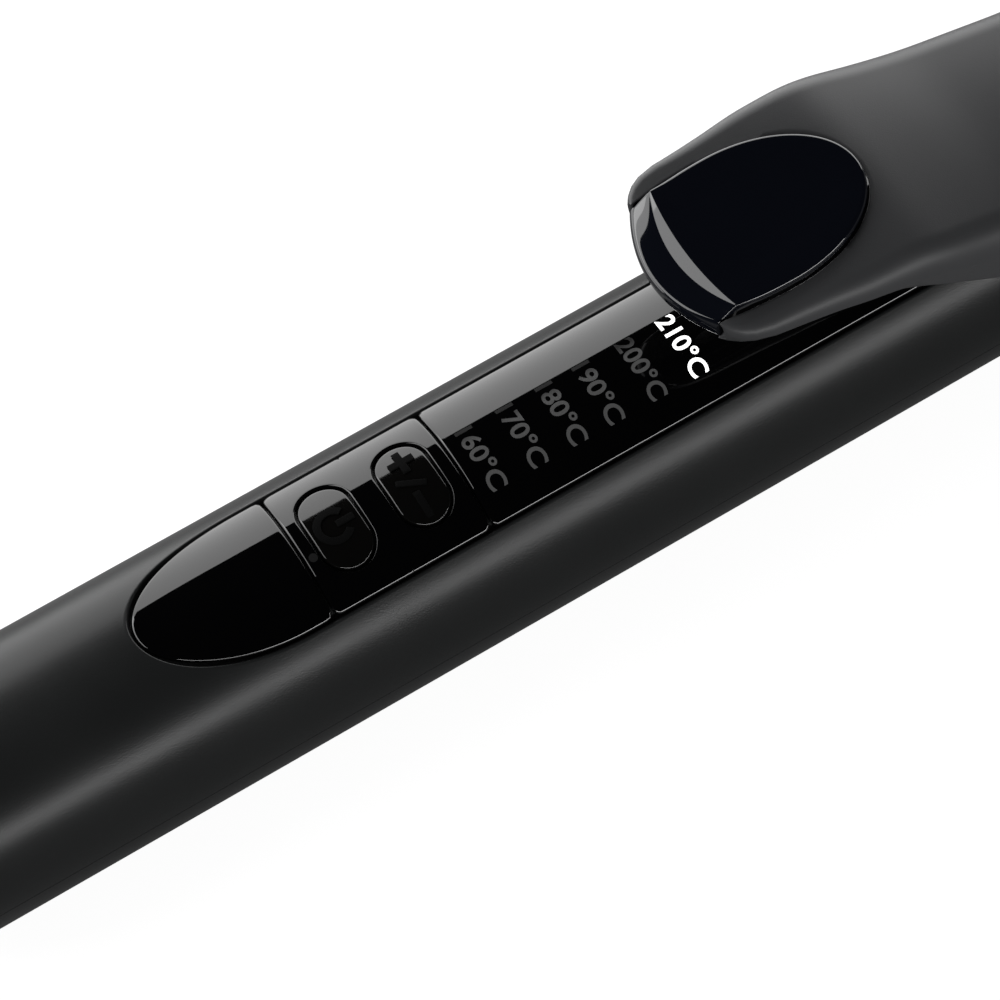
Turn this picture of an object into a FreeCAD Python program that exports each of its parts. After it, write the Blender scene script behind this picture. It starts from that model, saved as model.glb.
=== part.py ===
"""Curling iron: a straight round handle with a glossy control panel, a thumb lever and clamp, and a heated barrel.

All sizes are millimetres. While a piece is built, x runs along the handle's axis from the handle's rear face towards
the barrel's tip, z points up through the panel, and the axis itself is y = z = 0. At the end every piece is shifted
by the same amount, so that the row's origin is the bottom centre of the whole iron.
"""
import FreeCAD, Part
import math
import os
import Sketcher

doc = FreeCAD.newDocument("CurlingIron")
V = FreeCAD.Vector


# ---------------------------------------------------------------- sizes

def sheet(name, rows):
    """A spreadsheet with a word in column A and its value in column B, which the word stands for."""
    table = doc.addObject("Spreadsheet::Sheet", name)
    for row, (word, value) in enumerate(rows.items(), 1):
        table.set(f"A{row}", word)
        table.set(f"B{row}", str(value))
        table.setAlias(f"B{row}", word)
    doc.recompute()
    return table


size = sheet("Size", {
    # handle
    "handle_radius": 17, "handle_length": 174, "shell_wall": 2.2, "neck_radius": 15.6, "neck_length": 10,
    "neck_step": 1.2, "neck_wall": 1.5, "cap_length": 10, "cap_end_radius": 14.2, "stub_length": 2,
    # control panel, its three inlays and the grooves between them
    "panel_start": 32.4, "bezel_start": 56.3, "display_start": 80, "panel_stop": 14, "panel_half_width": 10.4,
    "panel_nose": 20.5, "inlay_depth": 1.3, "groove": 0.25,
    # buttons
    "power_x": 62.3, "rocker_x": 73.9, "button_width": 7.2, "button_length": 12.8, "button_gap": 0.35,
    "button_floor": 11, "button_proud": 0.25, "flange_lip": 0.8, "flange_height": 1.4, "trunnion_radius": 0.8,
    "trunnion_height": 12.2, "post_thick": 1.6,
    # temperature display
    "label_first": 83.5, "label_pitch": 6.2, "label_count": 6, "guide_half_width": 7.5, "guide_margin": 3,
    "indicator_x": 57.6, "indicator_y": -2.56, "indicator_radius": 0.6,
    # electronics
    "board_start": 41, "board_stop": 28, "board_half_width": 11, "board_floor": 5, "board_thick": 1.6,
    "post_rear": 48, "post_front": 34, "post_half_gap": 8, "post_radius": 2.2, "post_bore": 0.85, "switch_side": 6, "switch_height": 3.2,
    "plunger_radius": 1.7, "plunger_height": 0.6, "led_length": 1.6, "led_height": 0.6, "lead_radius": 0.6,
    "lead_half_gap": 4, "lead_aside": 7,
    # case screws
    "screw_rear": 24, "screw_front": 21, "screw_radius": 1.4, "screw_head_radius": 2.8, "screw_head_height": 1.8,
    "boss_radius": 3, "boss_wall": 1.4,
    # barrel
    "collar_length": 10, "collar_seat": 8, "collar_rounding": 1, "barrel_radius": 12.5, "barrel_wall": 0.9, "barrel_length": 140,
    "barrel_seat": 14, "tip_length": 14, "tip_step": 0.5, "tip_rounding": 5, "tip_spigot": 8, "disc_thick": 2,
    "heater_start": 26, "heater_stop": 22, "heater_half_width": 7, "heater_thick": 2.5, "sensor_radius": 1.2,
    "sensor_length": 5, "fuse_radius": 1.9, "fuse_length": 10, "fuse_start": 6,
    # lever, clamp and their hinge
    "pivot_ahead": 6, "pivot_height": 17, "pin_radius": 1.2, "running_gap": 0.05, "lever_reach": 78.9,
    "lever_length": 97, "lever_half_width": 17.6, "lever_wall": 1.6, "pad_height": 35, "pad_length": 32,
    "lip_height": 30.4, "skirt_height": 8, "insert_proud": 1, "insert_thick": 1.8, "wrap_thick": 3.4,
    "insert_half_width": 10.4, "insert_bow": 11, "insert_centre": 14.9, "insert_nose": 16.6, "ear_half_gap": 6, "ear_thick": 0.8,
    "ear_length": 8, "ear_height": 19, "saddle_thick": 0.8, "saddle_angle": 70, "lug_thick": 2.2,
    "lug_radius": 3, "clamp_gap": 0.3, "clamp_thick": 0.8, "clamp_angle": 116, "clamp_root": 7.5,
    "clamp_stop": 6, "rivet_radius": 1.3, "rivet_head_radius": 2, "rivet_seat": 16.2, "rivet_first": 3,
    "rivet_pitch": 5, "coil_radius": 2.3, "coil_wire": 0.8, "coil_turns": 4.46, "coil_pitch": 1, "coil_leg": 4,
    # fold-out stand
    "wire_radius": 1.2, "stand_leg": 32, "stand_drop": 3, "stand_bend": 5, "stand_side_gap": 0.35,
    # swivelling cord inlet
    "socket_radius": 8, "cord_radius": 3.6, "socket_flange": 10, "shaft_radius": 5, "ring_radius": 6.2,
    "ring_width": 2, "ring_pitch": 4, "contact_gap": 0.3,
    # seats between fixed pieces
    "seat_gap": 0.1,
})

place = sheet("Place", {
    "axis_height": "=Size.handle_radius",
    "bore": "=Size.handle_radius - Size.shell_wall",
    "inlay_floor": "=Size.handle_radius - Size.inlay_depth",
    "neck_start": "=Size.handle_length - Size.neck_length",
    "neck_bore": "=Size.neck_radius - Size.neck_wall",
    "panel_end": "=Size.handle_length - Size.panel_stop",
    "panel_bow": "=Size.panel_start + Size.panel_nose",
    "collar_end": "=Size.handle_length + Size.collar_length",
    "barrel_start": "=Size.handle_length - Size.barrel_seat",
    "barrel_end": "=collar_end + Size.barrel_length",
    "barrel_bore": "=Size.barrel_radius - Size.barrel_wall",
    "iron_end": "=barrel_end + Size.tip_length",
    "iron_start": "=-(Size.cap_length + Size.stub_length)",
    "part_x": "=-(iron_end + iron_start) / 2",
    "board_top": "=Size.board_floor + Size.board_thick",
    "board_end": "=Size.handle_length - Size.board_stop",
    "post_front_x": "=Size.handle_length - Size.post_front",
    "screw_front_x": "=Size.handle_length - Size.screw_front",
    "label_last": "=Size.label_first + Size.label_pitch * (Size.label_count - 1)",
    "pivot_x": "=collar_end + Size.pivot_ahead",
    "nose_x": "=pivot_x - Size.lever_reach",
    "lever_end": "=nose_x + Size.lever_length",
    "clamp_start": "=pivot_x + Size.clamp_root",
    "clamp_end": "=barrel_end - Size.clamp_stop",
    "clamp_inner": "=Size.barrel_radius + Size.clamp_gap",
    "clamp_outer": "=clamp_inner + Size.clamp_thick",
    "heater_x": "=collar_end + Size.heater_start",
    "heater_length": "=barrel_end - Size.heater_stop - heater_x",
    "tip_radius": "=Size.barrel_radius + Size.tip_step",
    "stand_x": "=Size.handle_length + Size.collar_length / 2",
    "stand_y": "=Size.neck_radius + Size.stand_side_gap + Size.wire_radius",
})


def value(expression):
    """The number that an expression on the sheets stands for."""
    return float(size.evalExpression(str(expression)))


# ---------------------------------------------------------------- ways of making a piece

UPRIGHT = FreeCAD.Rotation()
ALONG_X = FreeCAD.Rotation(V(0, 1, 0), 90)
ALONG_Y = FreeCAD.Rotation(V(1, 0, 0), -90)


def bound(kind, name, sizes, at, turn=UPRIGHT):
    """A primitive whose sizes and place follow expressions on the sheets."""
    piece = doc.addObject(kind, name)
    piece.Placement = FreeCAD.Placement(V(0, 0, 0), turn)
    for word, expression in sizes.items():
        piece.setExpression(word, str(expression))
    for letter, expression in zip("xyz", at):
        piece.setExpression(f"Placement.Base.{letter}", str(expression))
    return piece


def rod(name, radius, length, at, turn=ALONG_X, angle=360):
    """A round bar that starts at a point and runs along the turned z axis."""
    return bound("Part::Cylinder", name, {"Radius": radius, "Height": length, "Angle": angle}, at, turn)


def block(name, low, lengths):
    """A box from its lowest corner."""
    return bound("Part::Box", name, dict(zip(("Length", "Width", "Height"), lengths)), low)


def fuse(name, *pieces):
    joined = doc.addObject("Part::MultiFuse", name)
    joined.Shapes = list(pieces)
    return joined


def group(name, *pieces):
    """Separate solids of one kind, kept as one piece."""
    together = doc.addObject("Part::Compound", name)
    together.Links = list(pieces)
    return together


def common(name, *pieces):
    shared = doc.addObject("Part::MultiCommon", name)
    shared.Shapes = list(pieces)
    return shared


def cut(name, base, *tools):
    rest = doc.addObject("Part::Cut", name)
    rest.Base = base
    rest.Tool = tools[0] if len(tools) == 1 else fuse(f"{name}_cutters", *tools)
    return rest


def body(name):
    return doc.addObject("PartDesign::Body", name)


def origin_plane(owner, role):
    return next(plane for plane in owner.Origin.OriginFeatures if plane.Role == role)


def arc_between(start, end, radius):
    """The short arc from start to end; it bends to the left where the radius is positive, else to the right."""
    chord = end - start
    normal = V(-chord.y, chord.x, 0).normalize()
    rise = math.sqrt(radius ** 2 - (chord.Length / 2) ** 2)
    centre = (start + end) / 2 + normal * (rise if radius > 0 else -rise)
    first, last = (start, end) if radius > 0 else (end, start)
    angles = [math.atan2(point.y - centre.y, point.x - centre.x) for point in (first, last)]
    return Part.ArcOfCircle(Part.Circle(centre, V(0, 0, 1), abs(radius)), *angles)


def hold(sketch, kind, element, vertex, number, expression):
    """Holds one distance from the sketch's origin, or a radius, at an expression's value."""
    if kind == "Radius":
        index = sketch.addConstraint(Sketcher.Constraint(kind, element, number))
    else:
        index = sketch.addConstraint(Sketcher.Constraint(kind, -1, 1, element, vertex, number))
    sketch.setExpression(f"Constraints[{index}]", str(expression))


def outline(owner, name, role, corners):
    """A closed outline on one of the body's own planes. A corner is two expressions, with a third, a radius,
    where the side that starts there is an arc: positive bends left, negative bends right."""
    sketch = owner.newObject("Sketcher::SketchObject", name)
    sketch.AttachmentSupport = (origin_plane(owner, role), "")
    sketch.MapMode = "FlatFace"
    points = [V(value(corner[0]), value(corner[1]), 0) for corner in corners]
    ends = []
    for index, corner in enumerate(corners):
        start, end = points[index], points[(index + 1) % len(points)]
        radius = value(corner[2]) if len(corner) > 2 else 0
        side = arc_between(start, end, radius) if radius else Part.LineSegment(start, end)
        sketch.addGeometry(side, False)
        ends.append((2, 1) if radius < 0 else (1, 2))
    for index in range(len(corners)):
        after = (index + 1) % len(corners)
        sketch.addConstraint(Sketcher.Constraint("Coincident", index, ends[index][1], after, ends[after][0]))
    for index, corner in enumerate(corners):
        hold(sketch, "DistanceX", index, ends[index][0], points[index].x, corner[0])
        hold(sketch, "DistanceY", index, ends[index][0], points[index].y, corner[1])
        if len(corner) > 2:
            hold(sketch, "Radius", index, 0, abs(value(corner[2])), f"abs({corner[2]})")
    return sketch


def turned(name, corners, angle=360):
    """A body turned about the handle's axis from a profile of (x, radius) corners."""
    piece = body(name)
    profile = outline(piece, f"{name}_profile", "XZ_Plane", corners)
    solid = piece.newObject("PartDesign::Revolution", f"{name}_turn")
    solid.Profile = profile
    solid.ReferenceAxis = (profile, ["H_Axis"])
    solid.Angle = angle
    solid.Midplane = angle < 360
    return piece


def tube(name, inner, outer, start, end):
    """A plain ring or pipe about the handle's axis."""
    return turned(name, [(start, inner), (end, inner), (end, outer), (start, outer)])


def slab(name, role, corners, thickness, both_ways=True):
    """A body padded from an outline, half its thickness each way from the plane."""
    piece = body(name)
    pad = piece.newObject("PartDesign::Pad", f"{name}_pad")
    pad.Profile = outline(piece, f"{name}_outline", role, corners)
    pad.setExpression("Length", str(thickness))
    pad.Midplane = both_ways
    return piece


def softened(piece, radius, wanted):
    """Rounds the edges of a body's last feature that the test picks."""
    doc.recompute()
    last = piece.Tip
    picked = [f"Edge{index}" for index, edge in enumerate(last.Shape.Edges, 1) if wanted(edge)]
    rounding = piece.newObject("PartDesign::Fillet", f"{piece.Name}_rounding")
    rounding.Base = (last, picked)
    rounding.setExpression("Radius", str(radius))
    return piece


def ring_edge(x, radius):
    """A test for the circle about the handle's axis at one place."""
    def wanted(edge):
        circle = edge.Curve
        return (isinstance(circle, Part.Circle) and abs(circle.Center.x - value(x)) < 0.01
                and abs(circle.Radius - value(radius)) < 0.01)
    return wanted


def obround(name, x, width, length, floor, height):
    """An upright column with round ends, long across the handle."""
    reach = f"({length} - ({width})) / 2"
    parts = [block(f"{name}_middle", (f"{x} - ({width}) / 2", f"-{reach}", floor),
                   (width, f"2 * {reach}", height))]
    for side, sign in (("left", ""), ("right", "-")):
        parts.append(rod(f"{name}_{side}", f"({width}) / 2", height, (x, f"{sign}{reach}", floor), UPRIGHT))
    return fuse(name, *parts)


def bent_rod(name, points, radius):
    """A wire along straight runs joined by tangent arcs, each 0.45 of its shorter run over tan(half the turn)."""
    edges, last = [], points[0]
    for before, corner, after in zip(points, points[1:], points[2:]):
        back, ahead = (before - corner), (after - corner)
        leg = 0.45 * min(back.Length, ahead.Length)
        first, final = corner + back.normalize() * leg, corner + ahead.normalize() * leg
        middle = (first + final) / 2
        half = math.acos(max(-1, min(1, back.dot(ahead)))) / 2
        bend = leg * math.tan(half)
        centre = corner + (middle - corner).normalize() * math.hypot(leg, bend)
        crest = centre + (corner - centre).normalize() * bend
        edges += [Part.LineSegment(last, first).toShape(), Part.Arc(first, crest, final).toShape()]
        last = final
    edges.append(Part.LineSegment(last, points[-1]).toShape())
    start_way = (points[1] - points[0]).normalize()
    section = Part.Wire(Part.Circle(points[0], start_way, radius).toShape())
    return Part.Wire(edges).makePipeShell([section], True, False)


def computed(name, shape):
    """A piece whose shape is worked out here, because it follows a bent line."""
    piece = doc.addObject("Part::Feature", name)
    piece.Shape = shape
    return piece


# ---------------------------------------------------------------- handle shells

def shell_half(name):
    """The upper half of the handle's wall, with the narrower neck that the collar's sleeve plugs into."""
    return turned(name, [
        ("0", "Place.bore"), ("Place.neck_start - 2", "Place.bore"), ("Place.neck_start", "Place.neck_bore"),
        ("Size.handle_length", "Place.neck_bore"), ("Size.handle_length", "Size.neck_radius"),
        ("Place.neck_start + Size.neck_step", "Size.neck_radius"), ("Place.neck_start", "Size.handle_radius"),
        ("0", "Size.handle_radius")], 180)


def panel_column(name, inset, height):
    """The panel's plan: a half ellipse at the rear and straight sides, as an upright column."""
    half = f"(Size.panel_half_width - {inset})"
    oval = bound("Part::Ellipse", f"{name}_oval", {"MajorRadius": f"Size.panel_nose - {inset}",
                                                   "MinorRadius": half}, ("Place.panel_bow", "0", "0"))
    nose = doc.addObject("Part::Extrusion", f"{name}_nose")
    nose.Base = oval
    nose.DirMode = "Custom"
    nose.Dir = V(0, 0, 1)
    nose.setExpression("LengthFwd", height)
    nose.Solid = True
    run = block(f"{name}_run", ("Place.panel_bow", f"-{half}", "0"),
                (f"Place.panel_end - {inset} - Place.panel_bow", f"2 * {half}", height))
    return fuse(name, nose, run)


def button_holes(name):
    """The two openings that the power button and the rocker stand in."""
    wide, tall = "(Size.button_width + 2 * Size.button_gap)", "(Size.button_length + 2 * Size.button_gap)"
    return [obround(f"{name}_{word}", f"Size.{word}_x", wide, tall, "Size.button_floor", "Size.handle_radius")
            for word in ("power", "rocker")]


SCREW_PLACES = {"rear": "Size.screw_rear", "front": "Place.screw_front_x"}
POST_PLACES = {"rear": "Size.post_rear", "front": "Place.post_front_x"}


def upper_shell():
    blank = shell_half("upper_wall")
    wall_line = rod("upper_trim", "Place.bore + 0.4", "Size.handle_length", ("0", "0", "0"))
    bosses = [rod(f"upper_boss_{end}", "Size.boss_radius", "Size.handle_radius", (x, "0", "0"), UPRIGHT)
              for end, x in SCREW_PLACES.items()]
    walled = fuse("upper_bossed", blank, common("upper_bosses", wall_line, fuse("upper_boss_pair", *bosses)))
    ring = cut("recess_ring", rod("recess_outer", "Size.handle_radius + 1", "Size.handle_length", ("0", "0", "0")),
               rod("recess_inner", "Place.inlay_floor", "Size.handle_length", ("0", "0", "0")))
    recess = common("panel_recess", ring, panel_column("recess_plan", "0", "2 * Size.handle_radius"))
    light_way = block("light_way", ("Size.label_first - Size.guide_margin - Size.groove",
                                    "-Size.guide_half_width - Size.groove", "Size.button_floor"),
                      ("Place.label_last - Size.label_first + 2 * (Size.guide_margin + Size.groove)",
                       "2 * (Size.guide_half_width + Size.groove)", "Size.handle_radius"))
    pipe_way = rod("pipe_way", "Size.indicator_radius + Size.seat_gap", "Size.handle_radius",
                   ("Size.indicator_x", "Size.indicator_y", "Size.button_floor"), UPRIGHT)
    pilots = [rod(f"pilot_{end}", "Size.screw_radius", "Size.button_floor", (x, "0", "0"), UPRIGHT)
              for end, x in SCREW_PLACES.items()]
    return cut("upper_shell", walled, recess, light_way, pipe_way, *pilots, *button_holes("shell_hole"))


def lower_shell():
    """The upper half's twin turned over, with screw bosses, counterbores and the board's four posts."""
    blank = shell_half("lower_wall")
    blank.Placement = FreeCAD.Placement(V(0, 0, 0), FreeCAD.Rotation(V(1, 0, 0), 180))
    wall_line = rod("lower_trim", "Place.bore + 0.4", "Size.handle_length", ("0", "0", "0"))
    deep = "-Size.handle_radius"
    columns = [rod(f"lower_boss_{end}", "Size.screw_head_radius + Size.boss_wall", "Size.handle_radius",
                   (x, "0", deep), UPRIGHT) for end, x in SCREW_PLACES.items()]
    for end, x in POST_PLACES.items():
        for side, sign in (("left", ""), ("right", "-")):
            columns.append(rod(f"post_{end}_{side}", "Size.post_radius", "Size.handle_radius + Size.board_floor",
                               (x, f"{sign}Size.post_half_gap", deep), UPRIGHT))
    walled = fuse("lower_bossed", blank, common("lower_columns", wall_line, fuse("lower_column_set", *columns)))
    holes = []
    for end, x in SCREW_PLACES.items():
        holes.append(rod(f"screw_way_{end}", "Size.screw_radius + Size.seat_gap", "2 * Size.handle_radius",
                         (x, "0", deep), UPRIGHT))
        holes.append(rod(f"head_way_{end}", "Size.screw_head_radius + Size.seat_gap",
                         "Size.shell_wall + Size.screw_head_height + 1", (x, "0", f"{deep} - 1"), UPRIGHT))
    holes += board_screw_rods("post_pilot", "Size.post_bore")
    return cut("lower_shell", walled, *holes)


def board_screw_rods(name, radius):
    """One upright rod at each of the board's four posts, from 8 mm below the board to its top."""
    return [rod(f"{name}_{end}_{side}", radius, "Size.board_thick + 8",
                (x, f"{sign}Size.post_half_gap", "Size.board_floor - 8"), UPRIGHT)
            for end, x in POST_PLACES.items() for side, sign in (("left", ""), ("right", "-"))]


def case_screws():
    """Two screws that go up from the counterbores into the upper shell's bosses."""
    seat = "-Size.handle_radius + Size.shell_wall + Size.screw_head_height"
    screws = []
    for end, x in SCREW_PLACES.items():
        head = rod(f"screw_head_{end}", "Size.screw_head_radius", "Size.screw_head_height",
                   (x, "0", f"{seat} - Size.screw_head_height"), UPRIGHT)
        slot = block(f"screw_slot_{end}", (f"{x} - 0.4", "-Size.screw_head_radius",
                                           f"{seat} - Size.screw_head_height"),
                     ("0.8", "2 * Size.screw_head_radius", "0.7"))
        shank = rod(f"screw_shank_{end}", "Size.screw_radius - 0.02", f"Size.button_floor - 1 - ({seat})",
                    (x, "0", seat), UPRIGHT)
        screws.append(cut(f"screw_{end}", fuse(f"screw_solid_{end}", head, shank), slot))
    return group("case_screws", *screws)


# ---------------------------------------------------------------- control panel

def inlay_ring(name):
    """The curved slab that all three inlays are cut from; its top runs on with the handle's surface."""
    return cut(name, rod(f"{name}_outer", "Size.handle_radius", "Size.handle_length", ("0", "0", "0")),
               rod(f"{name}_inner", "Place.inlay_floor + 0.02", "Size.handle_length", ("0", "0", "0")))


def inlay(name, start, end, cutters=()):
    """One glossy inlay between two places along the panel."""
    span = block(f"{name}_span", (start, "-Size.handle_radius", "0"),
                 (f"{end} - ({start})", "2 * Size.handle_radius", "2 * Size.handle_radius"))
    plan = panel_column(f"{name}_plan", "Size.groove", "2 * Size.handle_radius")
    label = name if not cutters else f"{name}_blank"
    plate = common(label, inlay_ring(f"{name}_ring"), plan, span)
    return cut(name, plate, *cutters) if cutters else plate


def control_panel():
    half = "Size.groove / 2"
    pipe_hole = rod("bezel_pipe_hole", "Size.indicator_radius + 0.02", "Size.handle_radius",
                    ("Size.indicator_x", "Size.indicator_y", "Size.button_floor"), UPRIGHT)
    return [inlay("end_inlay", "Size.panel_start - 1", f"Size.bezel_start - {half}"),
            inlay("button_bezel", f"Size.bezel_start + {half}", f"Size.display_start - {half}",
                  [pipe_hole, *button_holes("bezel_hole")]),
            inlay("display_window", f"Size.display_start + {half}", "Place.panel_end")]


def button_top(name, floor):
    """A button's column, cut off at the top by a round surface that stands a little proud of the handle."""
    column = obround(f"{name}_column", f"Size.{name}_x", "Size.button_width", "Size.button_length", floor,
                     "Size.handle_radius")
    crown = rod(f"{name}_crown", "Size.handle_radius + Size.button_proud", "Size.handle_length", ("0", "0", "0"))
    return common(f"{name}_top", column, crown)


def power_button():
    """A push button whose longer foot catches below the shell, which keeps it from coming out."""
    flange = obround("power_flange", "Size.power_x", "Size.button_width",
                     "(Size.button_length + 2 * Size.flange_lip)", "Size.button_floor", "Size.flange_height")
    foot_room = rod("power_foot_room", "Place.bore - Size.seat_gap", "Size.handle_length", ("0", "0", "0"))
    foot = common("power_foot", flange, foot_room)
    return fuse("power_button", button_top("power", "Size.button_floor"), foot)


def temperature_rocker():
    """A rocker on two trunnions, with the plus at one end and the minus at the other."""
    trunnion = rod("rocker_trunnion", "Size.trunnion_radius",
                   "Size.button_width + 2 * (Size.button_gap + Size.post_thick)",
                   ("Size.rocker_x - Size.button_width / 2 - Size.button_gap - Size.post_thick", "0",
                    "Size.trunnion_height"))
    return fuse("temperature_rocker", button_top("rocker", "Size.button_floor"), trunnion)


def rocker_posts():
    """Two posts that stand on the board and hold the rocker's trunnions."""
    posts = []
    for side, sign in (("rear", "-"), ("front", "+")):
        face = f"Size.rocker_x {sign} (Size.button_width / 2 + Size.button_gap)"
        low = f"{face} - Size.post_thick" if side == "rear" else face
        posts.append(block(f"rocker_post_{side}", (low, "-2.4", "Place.board_top"),
                           ("Size.post_thick", "4.8", "Size.trunnion_height + 1.8 - Place.board_top")))
    hole = rod("trunnion_hole", "Size.trunnion_radius + Size.running_gap", "4 * Size.button_width",
               ("Size.rocker_x - 2 * Size.button_width", "0", "Size.trunnion_height"))
    return cut("rocker_posts", fuse("rocker_post_pair", *posts), hole)


# ---------------------------------------------------------------- electronics

def control_board():
    plate = block("board_plate", ("Size.board_start", "-Size.board_half_width", "Size.board_floor"),
                  ("Place.board_end - Size.board_start", "2 * Size.board_half_width", "Size.board_thick"))
    return cut("control_board", plate, *board_screw_rods("board_hole", "1.1"))


def board_screws():
    screws = []
    for shank in board_screw_rods("board_shank", "0.83"):
        head = rod(f"{shank.Name}_head", "1.9", "1.2", ("0", "0", "Place.board_top"), UPRIGHT)
        for letter in "xy":
            head.setExpression(f"Placement.Base.{letter}", f"{shank.Name}.Placement.Base.{letter}")
        screws.append(fuse(f"{shank.Name}_screw", shank, head))
    return group("board_screws", *screws)


def tact_switch(name, x, y):
    """A small push switch: a square body with a round plunger."""
    case = block(f"{name}_case", (f"{x} - Size.switch_side / 2", f"{y} - Size.switch_side / 2", "Place.board_top"),
                 ("Size.switch_side", "Size.switch_side", "Size.switch_height"))
    plunger = rod(f"{name}_plunger", "Size.plunger_radius", "Size.switch_height + Size.plunger_height",
                  (x, y, "Place.board_top"), UPRIGHT)
    return fuse(name, case, plunger)


def switches():
    spread = "Size.button_length / 2 - 1.9"
    return [tact_switch("power_switch", "Size.power_x", "0"),
            group("rocker_switches", tact_switch("plus_switch", "Size.rocker_x", spread),
                  tact_switch("minus_switch", "Size.rocker_x", f"-({spread})"))]


def display():
    """One small lamp under each temperature, and the clear bar that brings their light up to the window."""
    lamps = [block(f"lamp_{index + 1}", (f"Size.label_first + {index} * Size.label_pitch - Size.led_length / 2",
                                         "-Size.led_length", "Place.board_top"),
                   ("Size.led_length", "2 * Size.led_length", "Size.led_height"))
             for index in range(int(value("Size.label_count")))]
    floor = "Place.board_top + Size.led_height + 0.3"
    bar = block("guide_bar", ("Size.label_first - Size.guide_margin", "-Size.guide_half_width", floor),
                ("Place.label_last - Size.label_first + 2 * Size.guide_margin", "2 * Size.guide_half_width",
                 "Size.handle_radius"))
    under_window = rod("guide_top", "Place.inlay_floor - 0.02", "Size.handle_length", ("0", "0", "0"))
    pipe = rod("pipe_rod", "Size.indicator_radius", "Size.handle_radius",
               ("Size.indicator_x", "Size.indicator_y", "Place.board_top + 0.1"), UPRIGHT)
    surface = rod("pipe_top", "Size.handle_radius", "Size.handle_length", ("0", "0", "0"))
    return [group("display_lamps", *lamps), common("light_guide", bar, under_window),
            common("indicator_pipe", pipe, surface)]


def leads():
    """The wires inside: mains to the board, board to heater with the fuse in one of them, and sensor to board."""
    gauge = value("Size.lead_radius")
    under_board = value("Size.board_floor") - gauge - 0.1
    board_rear, board_front = value("Size.board_start"), value("Place.board_end")
    disc, heater = value("Place.barrel_start"), value("Place.heater_x")
    fuse_start = value("Place.collar_end") + value("Size.fuse_start") - value("Size.fuse_length")
    fuse_end = fuse_start + value("Size.fuse_length")
    screw = value("Size.screw_rear")
    ring = value("Size.ring_radius") + value("Size.contact_gap") + 1.1
    mains = [bent_rod("mains", [V(18.1, side * ring, 0), V(screw, side * 9, 0),
                                V(screw + 8, side * 9, under_board / 2), V(board_rear + 4, side * 4, under_board)],
                      gauge) for side in (-1, 1)]
    apart = value("Size.lead_half_gap")
    exits = [V(board_front - 6, apart, under_board), V(disc - 4, apart, under_board / 2), V(disc + 10, apart, 0)]
    live = bent_rod("live", [*exits, V(fuse_start, apart, 0)], gauge)
    onward = bent_rod("onward", [V(fuse_end, apart, 0), V(heater, apart, 0)], gauge)
    neutral = bent_rod("neutral", [V(point.x, -apart, point.z) for point in exits] + [V(heater, -apart, 0)], gauge)
    high = value("Place.barrel_bore") - value("Size.sensor_radius") - 0.1
    aside = value("Size.lead_aside")
    sense = bent_rod("sense", [V(board_front - 2, aside, under_board), V(disc - 3, aside, under_board),
                               V(disc + 12, 0, high), V(heater - 8, 0, high)], gauge)
    return [computed("mains_leads", Part.makeCompound(mains)),
            computed("heater_leads", Part.makeCompound([live, onward, neutral])), computed("sensor_lead", sense)]


# ---------------------------------------------------------------- heated barrel

def front_collar():
    """A heat-resistant collar: its sleeve plugs into the neck and holds the barrel, its lip carries the stand."""
    inner = "Size.barrel_radius + Size.seat_gap"
    start = "Size.handle_length - Size.collar_seat"
    blank = turned("collar_blank", [
        (start, inner), ("Place.collar_end", inner), ("Place.collar_end", "Size.neck_radius"),
        ("Size.handle_length", "Size.neck_radius"), ("Size.handle_length", "Place.neck_bore - Size.seat_gap"),
        (start, "Place.neck_bore - Size.seat_gap")])
    softened(blank, "min(Size.collar_rounding; (Size.neck_radius - Size.barrel_radius) / 3)",
             ring_edge("Place.collar_end", "Size.neck_radius"))
    wire_hole = rod("stand_hole", "Size.wire_radius + Size.running_gap", "4 * Size.neck_radius",
                    ("Place.stand_x", "-2 * Size.neck_radius", "-Size.stand_drop"), ALONG_Y)
    barrel_way = rod("stand_hole_stop", "Size.barrel_radius + 0.2", "Size.collar_length",
                     ("Size.handle_length", "0", "0"))
    return cut("front_collar", blank, cut("stand_holes", wire_hole, barrel_way))


def barrel():
    seat = "Size.handle_length - Size.barrel_seat"
    pipe = tube("barrel_tube", "Place.barrel_bore", "Size.barrel_radius", seat, "Place.barrel_end")
    cap = turned("barrel_tip", [
        ("Place.barrel_end - Size.tip_spigot", "0"), ("Place.iron_end", "0"), ("Place.iron_end", "Place.tip_radius"),
        ("Place.barrel_end", "Place.tip_radius"), ("Place.barrel_end", "Place.barrel_bore - Size.seat_gap"),
        ("Place.barrel_end - Size.tip_spigot", "Place.barrel_bore - Size.seat_gap")])
    softened(cap, "Size.tip_rounding", ring_edge("Place.iron_end", "Place.tip_radius"))
    disc = rod("disc_plate", "Place.bore - 0.3", "Size.disc_thick", (f"{seat} - Size.disc_thick", "0", "0"))
    wide = "(Size.lead_radius + 0.7)"
    ways = [block(f"lead_way_{side}", (f"{seat} - 2 * Size.disc_thick", low, "-1.5"),
                  ("4 * Size.disc_thick", span, "11")) for side, low, span in
            (("left", f"Size.lead_half_gap - {wide}", f"Size.lead_aside - Size.lead_half_gap + 2 * {wide}"),
             ("right", f"-Size.lead_half_gap - {wide}", f"2 * {wide}"))]
    return [pipe, cap, cut("insulating_disc", disc, *ways)]


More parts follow.
